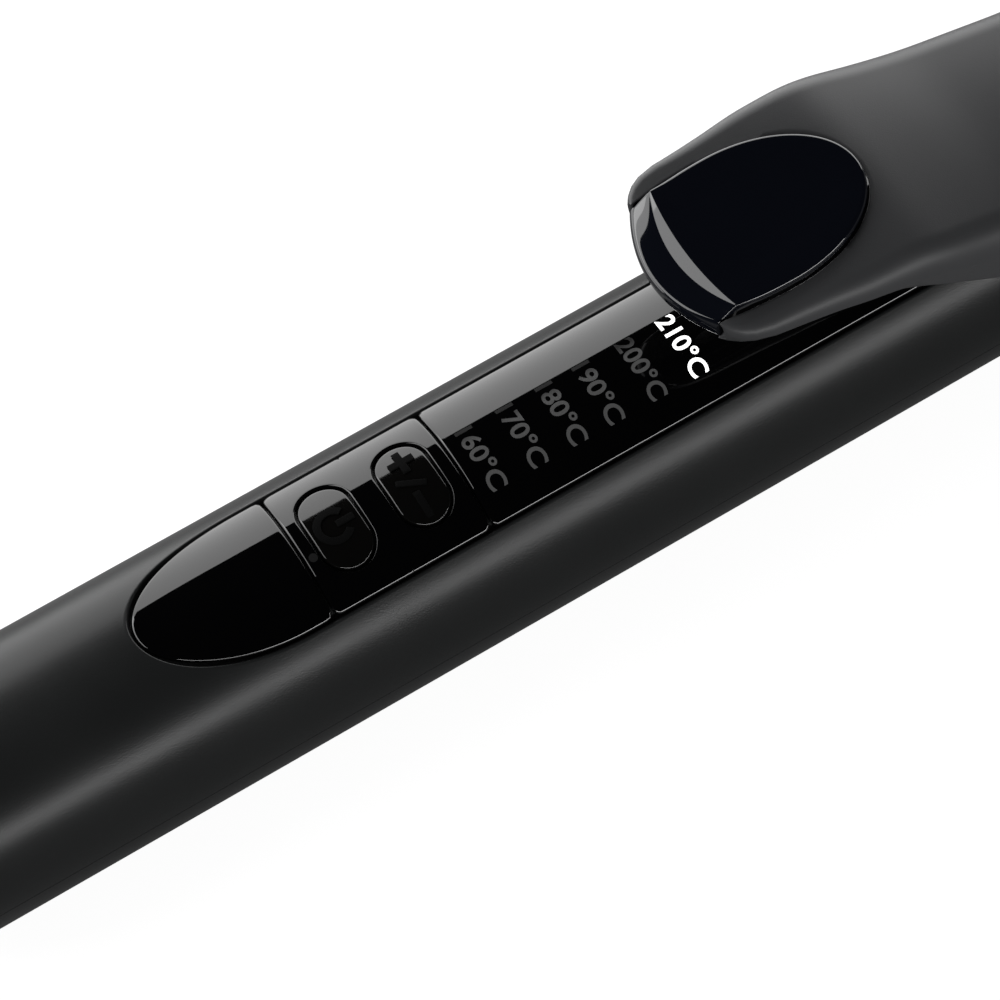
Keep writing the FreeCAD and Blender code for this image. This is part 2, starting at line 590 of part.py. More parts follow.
def heater():
    """A flat heating element between two half-round aluminium blocks that fill the barrel."""
    half = "Size.heater_thick / 2"
    element = block("heater_element", ("Place.heater_x", "-Size.heater_half_width", f"-{half}"),
                    ("Place.heater_length", "2 * Size.heater_half_width", "Size.heater_thick"))
    core = rod("block_round", "Place.barrel_bore - Size.seat_gap", "Place.heater_length - 2",
               ("Place.heater_x + 1", "0", "0"))
    slot = block("block_slot", ("Place.heater_x", "-Size.barrel_radius", f"-{half} - 0.05"),
                 ("Place.heater_length", "2 * Size.barrel_radius", "Size.heater_thick + 0.1"))
    high = "Place.barrel_bore - Size.sensor_radius - 0.1"
    sensor = rod("temperature_sensor", "Size.sensor_radius", "Size.sensor_length",
                 ("Place.heater_x - 8", "0", high))
    cutout = rod("thermal_fuse", "Size.fuse_radius", "Size.fuse_length",
                 ("Place.collar_end + Size.fuse_start - Size.fuse_length", "Size.lead_half_gap", "0"))
    return [element, cut("heat_blocks", core, slot), sensor, cutout]


# ---------------------------------------------------------------- clamp hinge

PIVOT_Z = "Size.pivot_height"


def pivot_bracket():
    """A steel saddle welded on the barrel, with two ears that carry the hinge pin."""
    start, length = "Place.pivot_x - Size.ear_length / 2 - 1", "Size.ear_length + 2"
    turn = FreeCAD.Rotation(V(1, 0, 0), -value("Size.saddle_angle") / 2).multiply(
        FreeCAD.Rotation(V(0, 0, 1), V(0, 1, 0), V(1, 0, 0), "ZXY"))
    sector = rod("saddle_sector", "Size.barrel_radius + Size.saddle_thick", length, (start, "0", "0"), turn,
                 "Size.saddle_angle")
    ears = [block(f"ear_{side}", ("Place.pivot_x - Size.ear_length / 2", y, "Size.barrel_radius - 3"),
                  ("Size.ear_length", "Size.ear_thick", "Size.ear_height - Size.barrel_radius + 3"))
            for side, y in (("left", "Size.ear_half_gap"), ("right", "-Size.ear_half_gap - Size.ear_thick"))]
    barrel_way = rod("saddle_seat", "Size.barrel_radius + 0.02", f"2 * ({length})", (f"{start} - 2", "0", "0"))
    pin_way = rod("ear_holes", "Size.pin_radius + 0.02", "4 * Size.ear_half_gap",
                  ("Place.pivot_x", "-2 * Size.ear_half_gap", PIVOT_Z), ALONG_Y)
    return cut("pivot_bracket", fuse("bracket_blank", sector, *ears), barrel_way, pin_way)


def pivot_pin():
    """A headed pin through the ears and the lever's lugs."""
    reach = "(Size.ear_half_gap + Size.ear_thick + 0.3 + Size.lug_thick + 0.15)"
    shank = rod("pin_shank", "Size.pin_radius", f"2 * {reach}", ("Place.pivot_x", f"-{reach}", PIVOT_Z), ALONG_Y)
    heads = [rod(f"pin_head_{side}", "Size.pin_radius + 0.8", "0.8", ("Place.pivot_x", y, PIVOT_Z), ALONG_Y)
             for side, y in (("left", reach), ("right", f"-{reach} - 0.8"))]
    return fuse("pivot_pin", shank, *heads)


def clamp_spring():
    """A torsion spring round the pin: a coil, one leg back along the saddle and one up under the lever's roof."""
    wire, coil = value("Size.coil_wire") / 2, value("Size.coil_radius")
    pitch, turns, leg = value("Size.coil_pitch"), value("Size.coil_turns"), value("Size.coil_leg")
    helix = Part.makeHelix(pitch, pitch * turns, coil)
    spin = 2 * math.pi * turns
    rise = pitch / (2 * math.pi * coil)
    start, end = V(coil, 0, 0), V(coil * math.cos(spin), coil * math.sin(spin), pitch * turns)
    start_way, end_way = V(0, 1, rise).normalize(), V(-math.sin(spin), math.cos(spin), rise).normalize()
    foot = start - start_way * leg
    path = Part.Wire([Part.LineSegment(foot, start).toShape(), *helix.Edges,
                      Part.LineSegment(end, end + end_way * leg).toShape()])
    spring = path.makePipeShell([Part.Wire(Part.Circle(foot, start_way, wire).toShape())], True, False)
    lie = FreeCAD.Rotation(V(0, 0, -1), V(1, 0, 0), V(0, -1, 0), "ZXY")
    middle = V(value("Place.pivot_x"), pitch * turns / 2, value(PIVOT_Z))
    return computed("clamp_spring", spring.transformGeometry(FreeCAD.Placement(middle, lie).toMatrix()))


def clamp_plate():
    """A thin metal tongue that follows the barrel, rounded at its front end."""
    length = "(Place.clamp_end - Place.clamp_start)"
    turn = FreeCAD.Rotation(V(1, 0, 0), -value("Size.clamp_angle") / 2).multiply(
        FreeCAD.Rotation(V(0, 0, 1), V(0, 1, 0), V(1, 0, 0), "ZXY"))
    sector = rod("clamp_sector", "Place.clamp_outer", length, ("Place.clamp_start", "0", "0"), turn,
                 "Size.clamp_angle")
    hollow = rod("clamp_hollow", "Place.clamp_inner", f"2 * {length}", ("Place.clamp_start - 1", "0", "0"))
    half = "Size.barrel_radius"
    plan = fuse("clamp_plan", block("clamp_run", ("Place.clamp_start", f"-{half}", "0"),
                                    (f"{length} - {half}", f"2 * {half}", "2 * Size.barrel_radius")),
                rod("clamp_round", half, "2 * Size.barrel_radius", (f"Place.clamp_end - {half}", "0", "0"),
                    UPRIGHT))
    tongue = common("clamp_tongue", cut("clamp_arc", sector, hollow), plan)
    return cut("clamp_plate", tongue, *rivet_rods("plate_hole", "Size.rivet_radius + 0.05"))


def rivet_rods(name, radius):
    """Two upright rods through the lever's front band and the clamp plate."""
    return [rod(f"{name}_{index + 1}", radius, "Size.rivet_seat - Place.clamp_inner - 0.1",
                (f"Place.clamp_start + Size.rivet_first + {index} * Size.rivet_pitch", "0",
                 "Place.clamp_inner + 0.1"), UPRIGHT) for index in range(2)]


def rivet_heads(name, radius, height):
    return [rod(f"{name}_{index + 1}", radius, height,
                (f"Place.clamp_start + Size.rivet_first + {index} * Size.rivet_pitch", "0", "Size.rivet_seat"),
                UPRIGHT) for index in range(2)]


def clamp_rivets():
    pairs = zip(rivet_rods("rivet_shank", "Size.rivet_radius"),
                rivet_heads("rivet_head", "Size.rivet_head_radius", "0.8"))
    return group("clamp_rivets", *(fuse(f"rivet_{index}", *pair) for index, pair in enumerate(pairs, 1)))


# ---------------------------------------------------------------- thumb lever

def lever_side(name, inset, roof, thickness):
    """The lever seen from the side, as a slab across the handle. The inset and the lower roof make its hollow."""
    top = f"Size.pad_height - ({roof})"
    low = "Size.skirt_height" if roof == "0" else "0"
    lip = "Size.lip_height" if roof == "0" else "0"
    nose, end, pivot = "Place.nose_x", "Place.lever_end", "Place.pivot_x"
    corners = [
        (f"{nose} + {inset}", "Size.lip_height + 2.4 - 0.4 * (" + roof + ")"),
        (f"{nose} + 1.7 + {inset}", lip), (f"{nose} + 23", lip)]
    if roof == "0":
        corners += [(f"{nose} + 34", "Size.lip_height - 4"), (f"{nose} + 52", "Size.skirt_height + 5.5"),
                    (f"{nose} + 64", low), (f"{end} - 2", low), (end, f"{low} + 1.5")]
    else:
        corners += [(f"{pivot} + 6.5", "0")]
    front = f"{pivot} + 6.5" if roof != "0" else f"{pivot} + 6"
    fall = f"0.55 * ({roof})"
    corners += [(end, "Place.clamp_outer + 2.4")] if roof == "0" else []
    corners += [(front, f"Size.pivot_height + 4.9 - {fall}"),
                (f"{pivot} - 12", f"Size.pivot_height + 7 - {fall}"),
                (f"{nose} + 50", f"Size.pad_height - 7 - 0.8 * ({roof})"),
                (f"{nose} + Size.pad_length", top),
                (f"{nose} + 4.6 + {inset} / 2", top)]
    return slab(name, "XZ_Plane", corners, thickness)


def lever_plan(name, inset):
    """The lever seen from above, as a tall slab: a bowed nose, a flare and straight sides to the front."""
    nose, end = f"Place.nose_x + {inset}", "Place.lever_end"
    half = {"nose": "Size.insert_bow", "corner": "Size.insert_bow + 3.2", "waist": "Size.insert_bow + 4.4",
            "side": "Size.lever_half_width", "front": "Size.neck_radius"}
    rail = [(f"{nose} + 3.6", half["nose"]), (f"{nose} + 7", half["corner"]), ("Place.nose_x + 18", half["waist"]),
            ("Place.nose_x + 36", half["side"]), (f"{end} - 14", half["side"]), (end, half["front"])]
    right = [(x, f"-({y} - {inset})") for x, y in rail]
    left = [(x, f"{y} - {inset}") for x, y in reversed(rail)]
    left[-1] = (*left[-1], "18.6")
    return slab(name, "XY_Plane", right + left, "4 * Size.pad_height")


def insert_column(name, grow):
    """The glossy pad's plan: parallel sides at the nose and a half ellipse in front, as an upright column."""
    centre = "Place.nose_x + Size.insert_centre"
    half = f"(Size.insert_half_width + {grow})"
    oval = bound("Part::Ellipse", f"{name}_oval", {"MajorRadius": f"Size.insert_nose + {grow}",
                                                   "MinorRadius": f"Size.insert_bow + {grow}"}, (centre, "0", "0"))
    front = doc.addObject("Part::Extrusion", f"{name}_front")
    front.Base = oval
    front.DirMode = "Custom"
    front.Dir = V(0, 0, 1)
    front.setExpression("LengthFwd", "2 * Size.pad_height")
    front.Solid = True
    nose = block(f"{name}_nose", ("Place.nose_x - 2", f"-{half}", "0"),
                 ("Size.insert_centre + 2", f"2 * {half}", "2 * Size.pad_height"))
    return fuse(name, front, nose)


def insert_side(name, grow):
    """The pad seen from the side: a flat top that bends down round the nose."""
    nose, top = "Place.nose_x", "Size.pad_height + Size.insert_proud"
    under = f"{top} - Size.insert_thick - {grow}"
    front = f"{nose} + Size.insert_centre + Size.insert_nose + 1 + {grow}"
    back = f"{nose} + Size.wrap_thick + {grow}"
    return slab(name, "XZ_Plane", [
        (nose, "Size.lip_height + 2.4"), (f"{nose} + 1.7", f"Size.lip_height - {grow}"),
        (back, f"Size.lip_height - {grow}"), (back, under), (front, under), (front, f"{top} + {grow}"),
        (f"{nose} + 5", f"{top} + {grow}"), (f"{nose} + 1.6 - {grow}", "Size.lip_height + 4.6")],
        "4 * Size.lever_half_width")


LEVER_SCREWS = ("Place.nose_x + 11", "Place.nose_x + 23")


def lever_body():
    outer = common("lever_outer", lever_side("lever_side", "0", "0", "4 * Size.lever_half_width"),
                   lever_plan("lever_plan", "0"))
    hollow = common("lever_hollow", lever_side("hollow_side", "Size.wrap_thick + Size.lever_wall", "3.4",
                                               "4 * Size.lever_half_width"),
                    lever_plan("hollow_plan", "Size.lever_wall"))
    band_way = rod("band_way", "Place.clamp_outer + 0.05", "Size.lever_length",
                   ("Place.pivot_x + 5", "0", "0"))
    shell = cut("lever_shell", outer, hollow, band_way)
    lugs = []
    for side, y in (("left", "Size.ear_half_gap + Size.ear_thick + 0.3"),
                    ("right", "-Size.ear_half_gap - Size.ear_thick - 0.3 - Size.lug_thick")):
        lugs.append(rod(f"lug_round_{side}", "Size.lug_radius", "Size.lug_thick", ("Place.pivot_x", y, PIVOT_Z),
                        ALONG_Y))
        lugs.append(block(f"lug_web_{side}", ("Place.pivot_x - Size.lug_radius", y, PIVOT_Z),
                          ("2 * Size.lug_radius", "Size.lug_thick", "4.2")))
    pad_seat = common("pad_seat", insert_side("pad_seat_side", "0.15"), insert_column("pad_seat_plan", "0.25"))
    holes = [rod("lug_bore", "Size.pin_radius + Size.running_gap", "6 * Size.ear_half_gap",
                 ("Place.pivot_x", "-3 * Size.ear_half_gap", PIVOT_Z), ALONG_Y)]
    holes += rivet_rods("band_hole", "Size.rivet_radius + 0.05")
    holes += rivet_heads("band_seat", "Size.rivet_head_radius + 0.2", "6")
    holes += [rod(f"pad_screw_way_{index}", "1.1", "6", (x, "0", "Size.lip_height"), UPRIGHT)
              for index, x in enumerate(LEVER_SCREWS, 1)]
    return cut("lever_body", fuse("lever_lugged", shell, *lugs), pad_seat, *holes)


def lever_insert():
    pad = common("insert_blank", insert_side("insert_side", "0"), insert_column("insert_plan", "0"))
    holes = [rod(f"pad_pilot_{index}", "0.9", "Size.insert_thick - 0.5",
                 (x, "0", "Size.pad_height + Size.insert_proud - Size.insert_thick"), UPRIGHT)
             for index, x in enumerate(LEVER_SCREWS, 1)]
    return cut("lever_insert", pad, *holes)


def lever_screws():
    """Two screws from inside the lever that hold the pad."""
    roof = "Size.pad_height - 3.4"
    screws = []
    for index, x in enumerate(LEVER_SCREWS, 1):
        head = rod(f"pad_screw_head_{index}", "2.2", "1.2", (x, "0", f"{roof} - 1.2"), UPRIGHT)
        shank = rod(f"pad_screw_shank_{index}", "0.88", "3.6", (x, "0", roof), UPRIGHT)
        screws.append(fuse(f"pad_screw_{index}", head, shank))
    return group("lever_screws", *screws)


# ---------------------------------------------------------------- fold-out stand

def stand_wire():
    """A U of round wire. Its ends turn into the collar; folded, its cross wire lies level with the handle's base."""
    leg, side, bend = value("Size.stand_leg"), value("Place.stand_y"), value("Size.stand_bend")
    radius, inward = value("Size.wire_radius"), value("Size.neck_radius") - 2.4
    drop = value("Size.handle_radius") - radius - value("Size.stand_drop")
    slant = math.asin(drop / leg)
    ahead = V(math.cos(slant), 0, -math.sin(slant))
    base = V(value("Place.stand_x"), 0, -value("Size.stand_drop"))

    def at(along, across):
        return base + ahead * along + V(0, across, 0)

    diagonal = math.sqrt(0.5)
    hook = 1.6
    edges = []
    for sign in (-1, 1):
        edges += [Part.LineSegment(at(0, sign * inward), at(0, sign * (side - hook))).toShape(),
                  Part.Arc(at(0, sign * (side - hook)),
                           at(hook * (1 - diagonal), sign * (side - hook * (1 - diagonal))),
                           at(hook, sign * side)).toShape(),
                  Part.LineSegment(at(hook, sign * side), at(leg - bend, sign * side)).toShape(),
                  Part.Arc(at(leg - bend, sign * side),
                           at(leg - bend * (1 - diagonal), sign * (side - bend * (1 - diagonal))),
                           at(leg, sign * (side - bend))).toShape()]
    edges.append(Part.LineSegment(at(leg, bend - side), at(leg, side - bend)).toShape())
    path = Part.Wire(Part.__sortEdges__(edges))
    first = path.OrderedVertexes[0].Point
    section = Part.Wire(Part.Circle(first, V(0, 1, 0), radius).toShape())
    return computed("stand_wire", path.makePipeShell([section], True, False))


# ---------------------------------------------------------------- rear end

def rear_end():
    """The end cap, the socket that turns in it for the cord, and the sliding contacts behind it."""
    gap = "Size.seat_gap"
    bore = "Size.socket_radius + Size.running_gap"
    cap = turned("rear_cap", [
        ("-Size.cap_length", bore), ("0", bore), ("0", f"Place.bore - {gap} - 1.4"),
        ("4", f"Place.bore - {gap} - 1.4"), ("4", f"Place.bore - {gap}"), ("0", f"Place.bore - {gap}"),
        ("0", "Size.handle_radius"), ("-Size.cap_length", "Size.cap_end_radius")])
    softened(cap, "2", ring_edge("-Size.cap_length", "Size.cap_end_radius"))
    holder = tube("contact_holder", "Size.shaft_radius + Size.running_gap", f"Place.bore - {gap} - 0.2", "4.1",
                  "7.5")
    socket = turned("swivel_socket", [
        ("Place.iron_start", "Size.cord_radius"), ("18", "Size.cord_radius"), ("18", "Size.shaft_radius"),
        ("2.8", "Size.shaft_radius"), ("2.8", "Size.socket_flange"), ("0.3", "Size.socket_flange"),
        ("0.3", "Size.socket_radius"), ("Place.iron_start", "Size.socket_radius")])
    softened(socket, "0.8", ring_edge("Place.iron_start", "Size.socket_radius"))
    rings, springs = [], []
    for index in range(2):
        start = f"(9.5 + {index} * Size.ring_pitch)"
        rings.append(tube(f"slip_ring_{index + 1}", "Size.shaft_radius + 0.02", "Size.ring_radius", start,
                          f"{start} + Size.ring_width"))
        side = "Size.ring_radius + Size.contact_gap"
        y = side if index else f"-({side}) - 0.5"
        springs.append(block(f"contact_{index + 1}", ("7.6", y, "-1.5"), (f"{start} + Size.ring_width - 7.4",
                                                                          "0.5", "3")))
        tail = side if index else f"-({side}) - 1.7"
        springs[-1] = fuse(f"contact_arm_{index + 1}", springs[-1],
                           block(f"contact_tag_{index + 1}", ("7.6", tail, "-1.5"), ("10.4", "1.7", "0.6")))
    return [cap, holder, socket, group("slip_rings", *rings), group("contact_springs", *springs)]


# ---------------------------------------------------------------- assembly

pieces = [
    upper_shell(), lower_shell(), case_screws(), *control_panel(), power_button(), temperature_rocker(),
    rocker_posts(), control_board(), board_screws(), *switches(), *display(), *leads(), front_collar(), *barrel(),
    *heater(), pivot_bracket(), pivot_pin(), clamp_spring(), clamp_plate(), clamp_rivets(), lever_body(),
    lever_insert(), lever_screws(), stand_wire(), *rear_end()]


def seat(piece):
    """Moves a finished piece into the row's frame, whose origin is the bottom centre of the iron."""
    for letter, shift in (("x", "Place.part_x"), ("z", "Place.axis_height")):
        own = dict(piece.ExpressionEngine).get(f".Placement.Base.{letter}", "0")
        piece.setExpression(f"Placement.Base.{letter}", f"{own} + {shift}")


for piece in pieces:
    seat(piece)
doc.recompute()

for thing in doc.Objects:
    if "Invalid" in thing.State or "Error" in thing.State:
        raise SystemExit(f"{thing.Label} failed: {thing.State}")

os.makedirs("parts", exist_ok=True)
for piece in pieces:
    shape = piece.Shape
    if shape.isNull() or not shape.isValid() or not shape.Solids:
        raise SystemExit(f"{piece.Label} has no sound shape")
    shape.exportStep(f"parts/{piece.Label}.step")
    box = shape.BoundBox
    print(f"{piece.Label:20s} solids {len(shape.Solids)}  volume {shape.Volume:9.1f}  x {box.XMin:7.2f} {box.XMax:7.2f}"
          f"  y {box.YMin:6.2f} {box.YMax:6.2f}  z {box.ZMin:6.2f} {box.ZMax:6.2f}")
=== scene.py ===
"""A curling iron with a round handle, a glossy control panel, a thumb lever with its clamp, and a coated barrel.

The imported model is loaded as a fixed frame. Sizes below are millimetres, with x counted from the handle's rear
face along its axis, y across and z up from that axis; the function `place` turns them into the frame's metres.
"""
import math
import bmesh
import bpy
import numpy as np
from mathutils import Matrix, Vector


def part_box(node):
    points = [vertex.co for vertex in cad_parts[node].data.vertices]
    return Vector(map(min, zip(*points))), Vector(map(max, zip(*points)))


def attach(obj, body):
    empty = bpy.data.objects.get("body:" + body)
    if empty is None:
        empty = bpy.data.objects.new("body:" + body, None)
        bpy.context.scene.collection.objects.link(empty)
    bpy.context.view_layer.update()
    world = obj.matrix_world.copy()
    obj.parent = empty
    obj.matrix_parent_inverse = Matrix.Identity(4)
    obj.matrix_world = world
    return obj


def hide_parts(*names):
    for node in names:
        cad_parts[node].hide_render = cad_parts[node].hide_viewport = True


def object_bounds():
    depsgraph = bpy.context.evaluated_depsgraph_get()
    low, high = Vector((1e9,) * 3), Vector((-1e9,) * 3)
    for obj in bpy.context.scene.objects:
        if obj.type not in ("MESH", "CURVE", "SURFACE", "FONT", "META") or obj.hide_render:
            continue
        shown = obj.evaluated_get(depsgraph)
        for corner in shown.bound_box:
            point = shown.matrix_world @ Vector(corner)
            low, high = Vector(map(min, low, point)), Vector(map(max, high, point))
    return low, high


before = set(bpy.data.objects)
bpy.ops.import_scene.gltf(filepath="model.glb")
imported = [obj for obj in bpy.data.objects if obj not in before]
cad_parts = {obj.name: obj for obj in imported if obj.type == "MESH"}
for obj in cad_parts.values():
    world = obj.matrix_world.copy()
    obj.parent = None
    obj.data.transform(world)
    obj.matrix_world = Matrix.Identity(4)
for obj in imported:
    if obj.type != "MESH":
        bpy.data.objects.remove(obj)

cad_low, cad_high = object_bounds()

# ---------------------------------------------------------------- camera
# A long lens high over the handle, turned so that the barrel runs up to the right. Its aim is a point on the axis.

MM = 0.001
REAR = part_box("upper_shell")[0].x / MM
RADIUS = (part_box("upper_shell")[1].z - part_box("lower_shell")[0].z) / MM / 2
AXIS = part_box("lower_shell")[0].z / MM + RADIUS


def place(x, y, z):
    """Millimetres from the handle's rear and axis to metres in the frame, for numbers or whole arrays."""
    return np.stack(np.broadcast_arrays((x + REAR) * MM, y * MM, (z + AXIS) * MM), -1).astype(float)


AIM_X, AIM_SIDE, DISTANCE = 86.0, -0.358, 497.0
LEAN, TAU, ROLL = map(math.radians, (25.68, 11.51, 29.42))
LENS = 133.0
toward = np.array([-math.sin(TAU), -math.sin(LEAN) * math.cos(TAU), math.cos(LEAN) * math.cos(TAU)])
along = np.array([1.0, 0, 0]) - toward[0] * toward
along /= np.linalg.norm(along)
across = np.cross(toward, along)
right = math.cos(ROLL) * along - math.sin(ROLL) * across
up = math.sin(ROLL) * along + math.cos(ROLL) * across
aim = np.array([AIM_X, 0, 0]) + AIM_SIDE * across
eye = aim + DISTANCE * toward

camera = bpy.data.objects.new("camera", bpy.data.cameras.new("camera"))
bpy.context.scene.collection.objects.link(camera)
camera.data.lens = LENS
camera.data.sensor_width = 36
camera.data.clip_start = 0.01
turned = Matrix(np.stack([right, up, toward], 1).tolist()).to_4x4()
camera.matrix_world = Matrix.Translation(place(*eye).tolist()) @ turned
bpy.context.scene.camera = camera


# ---------------------------------------------------------------- light and floor
# A tall softbox close to the far side gives the panel its grey reflection; a low strip on the near side lights the
# handle's flank. Overhead stays dark. The floor is pale and keeps the iron's soft shadow.

class Socket:
    """An output of a shader node; sums, differences and products with it add the Math nodes they need."""

    def __init__(self, tree, output):
        self.tree, self.output = tree, output

    def math(self, operation, other=None, swap=False):
        inputs = [self, other] if other is not None else [self]
        return node(self.tree, "ShaderNodeMath", {"operation": operation}, *(inputs[::-1] if swap else inputs))

    def __add__(self, other):
        return self.math("ADD", other)

    def __sub__(self, other):
        return self.math("SUBTRACT", other)

    def __rsub__(self, other):
        return self.math("SUBTRACT", other, True)

    def __mul__(self, other):
        return self.math("MULTIPLY", other)

    __radd__, __rmul__ = __add__, __mul__


def node(tree, kind, settings=None, *values, out=0, **named):
    """Any node: its settings are set first, then its sockets in order or by name, and one output is returned."""
    made = tree.nodes.new(kind)
    for key, value in (settings or {}).items():
        if key == "stops":
            for stop, (at, grey) in zip(made.color_ramp.elements, value):
                stop.position, stop.color = at, (grey, grey, grey, 1)
        else:
            setattr(made, key, value)
    pairs = list(enumerate(values)) + [(key.replace("_", " "), value) for key, value in named.items()]
    for key, value in pairs:
        if isinstance(value, Socket):
            tree.links.new(value.output, made.inputs[key])
        else:
            made.inputs[key].default_value = value
    return Socket(tree, made.outputs[out]) if made.outputs else None


def softbox(name, centre, size, aim_at, radiance):
    """A rectangular lamp of even radiance that the camera doesn't see."""
    lamp = bpy.data.lights.new(name, "AREA")
    lamp.shape, lamp.size, lamp.size_y = "RECTANGLE", size[0] * MM, size[1] * MM
    lamp.energy = radiance * math.pi * lamp.size * lamp.size_y
    made = bpy.data.objects.new(name, lamp)
    bpy.context.scene.collection.objects.link(made)
    made.location = place(*centre)
    made.rotation_euler = Vector(place(*centre) - place(*aim_at)).to_track_quat("Z", "Y").to_euler()
    made.visible_camera = False
    return made


softbox("far_softbox", (150, 125, 53), (900, 134), (150, 0, 53), 3.6)
softbox("near_strip", (150, -420, 150), (900, 60), (150, 0, 0), 15.0)
softbox("rear_box", (-65, 100, 150), (240, 100), (116, 0, 36), 5.0)

world = bpy.data.worlds.new("studio")
bpy.context.scene.world = world
world.use_nodes = True
sky = world.node_tree
sky.nodes.clear()
FILL, CEILING, WALL_TOP, MIRRORED = 0.16, 0.03, 0.10, 0.04
height = node(sky, "ShaderNodeSeparateXYZ", None, node(sky, "ShaderNodeTexCoord", None, out=0), out=2)
wall = node(sky, "ShaderNodeValToRGB", {"stops": ((WALL_TOP, 1), (WALL_TOP + 0.12, CEILING))}, height)
wall_level = node(sky, "ShaderNodeRGBToBW", None, wall)
is_camera, is_diffuse, is_glossy = (node(sky, "ShaderNodeLightPath", None, out=index) for index in (0, 2, 3))
is_clear = node(sky, "ShaderNodeLightPath", None, out=6)
level = is_camera + (is_glossy + is_clear) * wall_level * MIRRORED + is_diffuse * FILL
background = node(sky, "ShaderNodeBackground", None, (1, 1, 1, 1), level)
node(sky, "ShaderNodeOutputWorld", None, background)

FLOOR_HALF = 3.0
floor_mesh = bpy.data.meshes.new("floor")
floor_z = cad_low.z - 0.0002
floor_mesh.from_pydata([(sx * FLOOR_HALF, sy * FLOOR_HALF, floor_z) for sx, sy in
                        ((-1, -1), (1, -1), (1, 1), (-1, 1))], [], [(0, 1, 2, 3)])
floor = bpy.data.objects.new("floor", floor_mesh)
bpy.context.scene.collection.objects.link(floor)
paper = bpy.data.materials.new("floor_paper")
paper.use_nodes = True
tree = paper.node_tree
tree.nodes.clear()
mirrored = node(tree, "ShaderNodeLightPath", None, out=3) + node(tree, "ShaderNodeLightPath", None, out=6)
seen = node(tree, "ShaderNodeLightPath", None, out=0) * 0.9 + mirrored * MIRRORED
glow = node(tree, "ShaderNodeEmission", None, (1, 1, 1, 1), seen)
chalk = node(tree, "ShaderNodeBsdfDiffuse", None, (0.2, 0.2, 0.2, 1))
node(tree, "ShaderNodeOutputMaterial", None, node(tree, "ShaderNodeAddShader", None, glow, chalk))
floor_mesh.materials.append(paper)


# ---------------------------------------------------------------- mesh and material making, first used by the handle
# The handle is two soft-touch painted mouldings that meet on the level of the axis. The upper one has a long recess
# with a rounded rim for the control panel; its rear end is closed by the end cap.

def new_material(name, colour, roughness, **fixed):
    """A principled material; fixed values go straight on its sockets."""
    made = bpy.data.materials.new(name)
    made.use_nodes = True
    shader = made.node_tree.nodes["Principled BSDF"]
    shader.inputs["Base Color"].default_value = (*colour, 1)
    shader.inputs["Roughness"].default_value = roughness
    for key, value in fixed.items():
        shader.inputs[key.replace("_", " ")].default_value = value
    return made


def feed(material, key, value):
    """Links a value that changes over the surface to the material's principled shader."""
    material.node_tree.links.new(value.output, material.node_tree.nodes["Principled BSDF"].inputs[key])


def noise(tree, scale, detail=2.0, stretch=(1, 1, 1)):
    """Noise on object coordinates, from 0 to 1, with the scale in waves a metre."""
    spot = node(tree, "ShaderNodeTexCoord", None, out=3)
    spot = node(tree, "ShaderNodeMapping", {"vector_type": "TEXTURE"}, spot, Scale=stretch)
    return node(tree, "ShaderNodeTexNoise", None, Vector=spot, Scale=scale, Detail=detail)


def mixed(tree, factor, first, second):
    """A colour between two colours."""
    made = tree.nodes.new("ShaderNodeMix")
    made.data_type = "RGBA"
    tree.links.new(factor.output, made.inputs["Factor"])
    made.inputs[6].default_value, made.inputs[7].default_value = (*first, 1), (*second, 1)
    return Socket(tree, made.outputs[2])


def grained(name, dark, light, roughness, spread, grain, depth, wave=60.0, **fixed):
    """A moulded or coated finish: colour and roughness drift slowly, and fine grain stands in the bump."""
    made = new_material(name, dark, roughness, **fixed)
    tree = made.node_tree
    drift = noise(tree, wave, 3.0)
    fine = noise(tree, grain, 3.0)
    feed(made, "Base Color", mixed(tree, drift, dark, light))
    feed(made, "Roughness", (drift - 0.5) * spread + (fine - 0.5) * spread + roughness)
    bump = node(tree, "ShaderNodeBump", None, Strength=1.0, Distance=depth * MM, Height=fine)
    feed(made, "Normal", bump)
    return made


def built(name, points, faces, body, material, replaces=()):
    """A mesh object from frame points and faces; doubles are merged, normals turned out and edges smoothed."""
    mesh = bpy.data.meshes.new(name)
    mesh.from_pydata(points.reshape(-1, 3).tolist(), [], faces.tolist() if hasattr(faces, "tolist") else faces)
    work = bmesh.new()
    work.from_mesh(mesh)
    bmesh.ops.remove_doubles(work, verts=work.verts, dist=1e-7)
    bmesh.ops.dissolve_degenerate(work, edges=work.edges, dist=1e-8)
    bmesh.ops.recalc_face_normals(work, faces=work.faces)
    work.to_mesh(mesh)
    work.free()
    mesh.shade_smooth()
    mesh.set_sharp_from_angle(angle=math.radians(40))
    mesh.materials.append(material)
    made = bpy.data.objects.new(name, mesh)
    bpy.context.scene.collection.objects.link(made)
    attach(made, body)
    if replaces:
        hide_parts(*replaces)
    return made


def quads(rows, columns, loop_rows=False, loop_columns=False, start=0):
    """The quads between neighbouring points of a grid whose points are numbered row by row."""
    number = np.arange(rows * columns).reshape(rows, columns)
    if loop_rows:
        number = np.vstack([number, number[:1]])
    if loop_columns:
        number = np.hstack([number, number[:, :1]])
    return np.stack([number[:-1, :-1], number[1:, :-1], number[1:, 1:], number[:-1, 1:]], -1).reshape(-1, 4) + start


def wrap(x, arc, radius):
    """A point over the handle: arc is the distance round the outer surface from the top, towards the near side."""
    turn = arc / RADIUS
    return place(x, -radius * np.sin(turn), radius * np.cos(turn))


PANEL_START, PANEL_END, PANEL_BOW = 32.4, 160.0, 52.9
PANEL_ARC = RADIUS * math.asin(10.4 / RADIUS)
HANDLE_END, NECK_START, NECK_RADIUS = 174.0, 164.0, 15.6
RECESS_FLOOR, WALL = 15.7, 2.2
SEAM_GAP, SEAM_EDGE = 0.06, 0.25

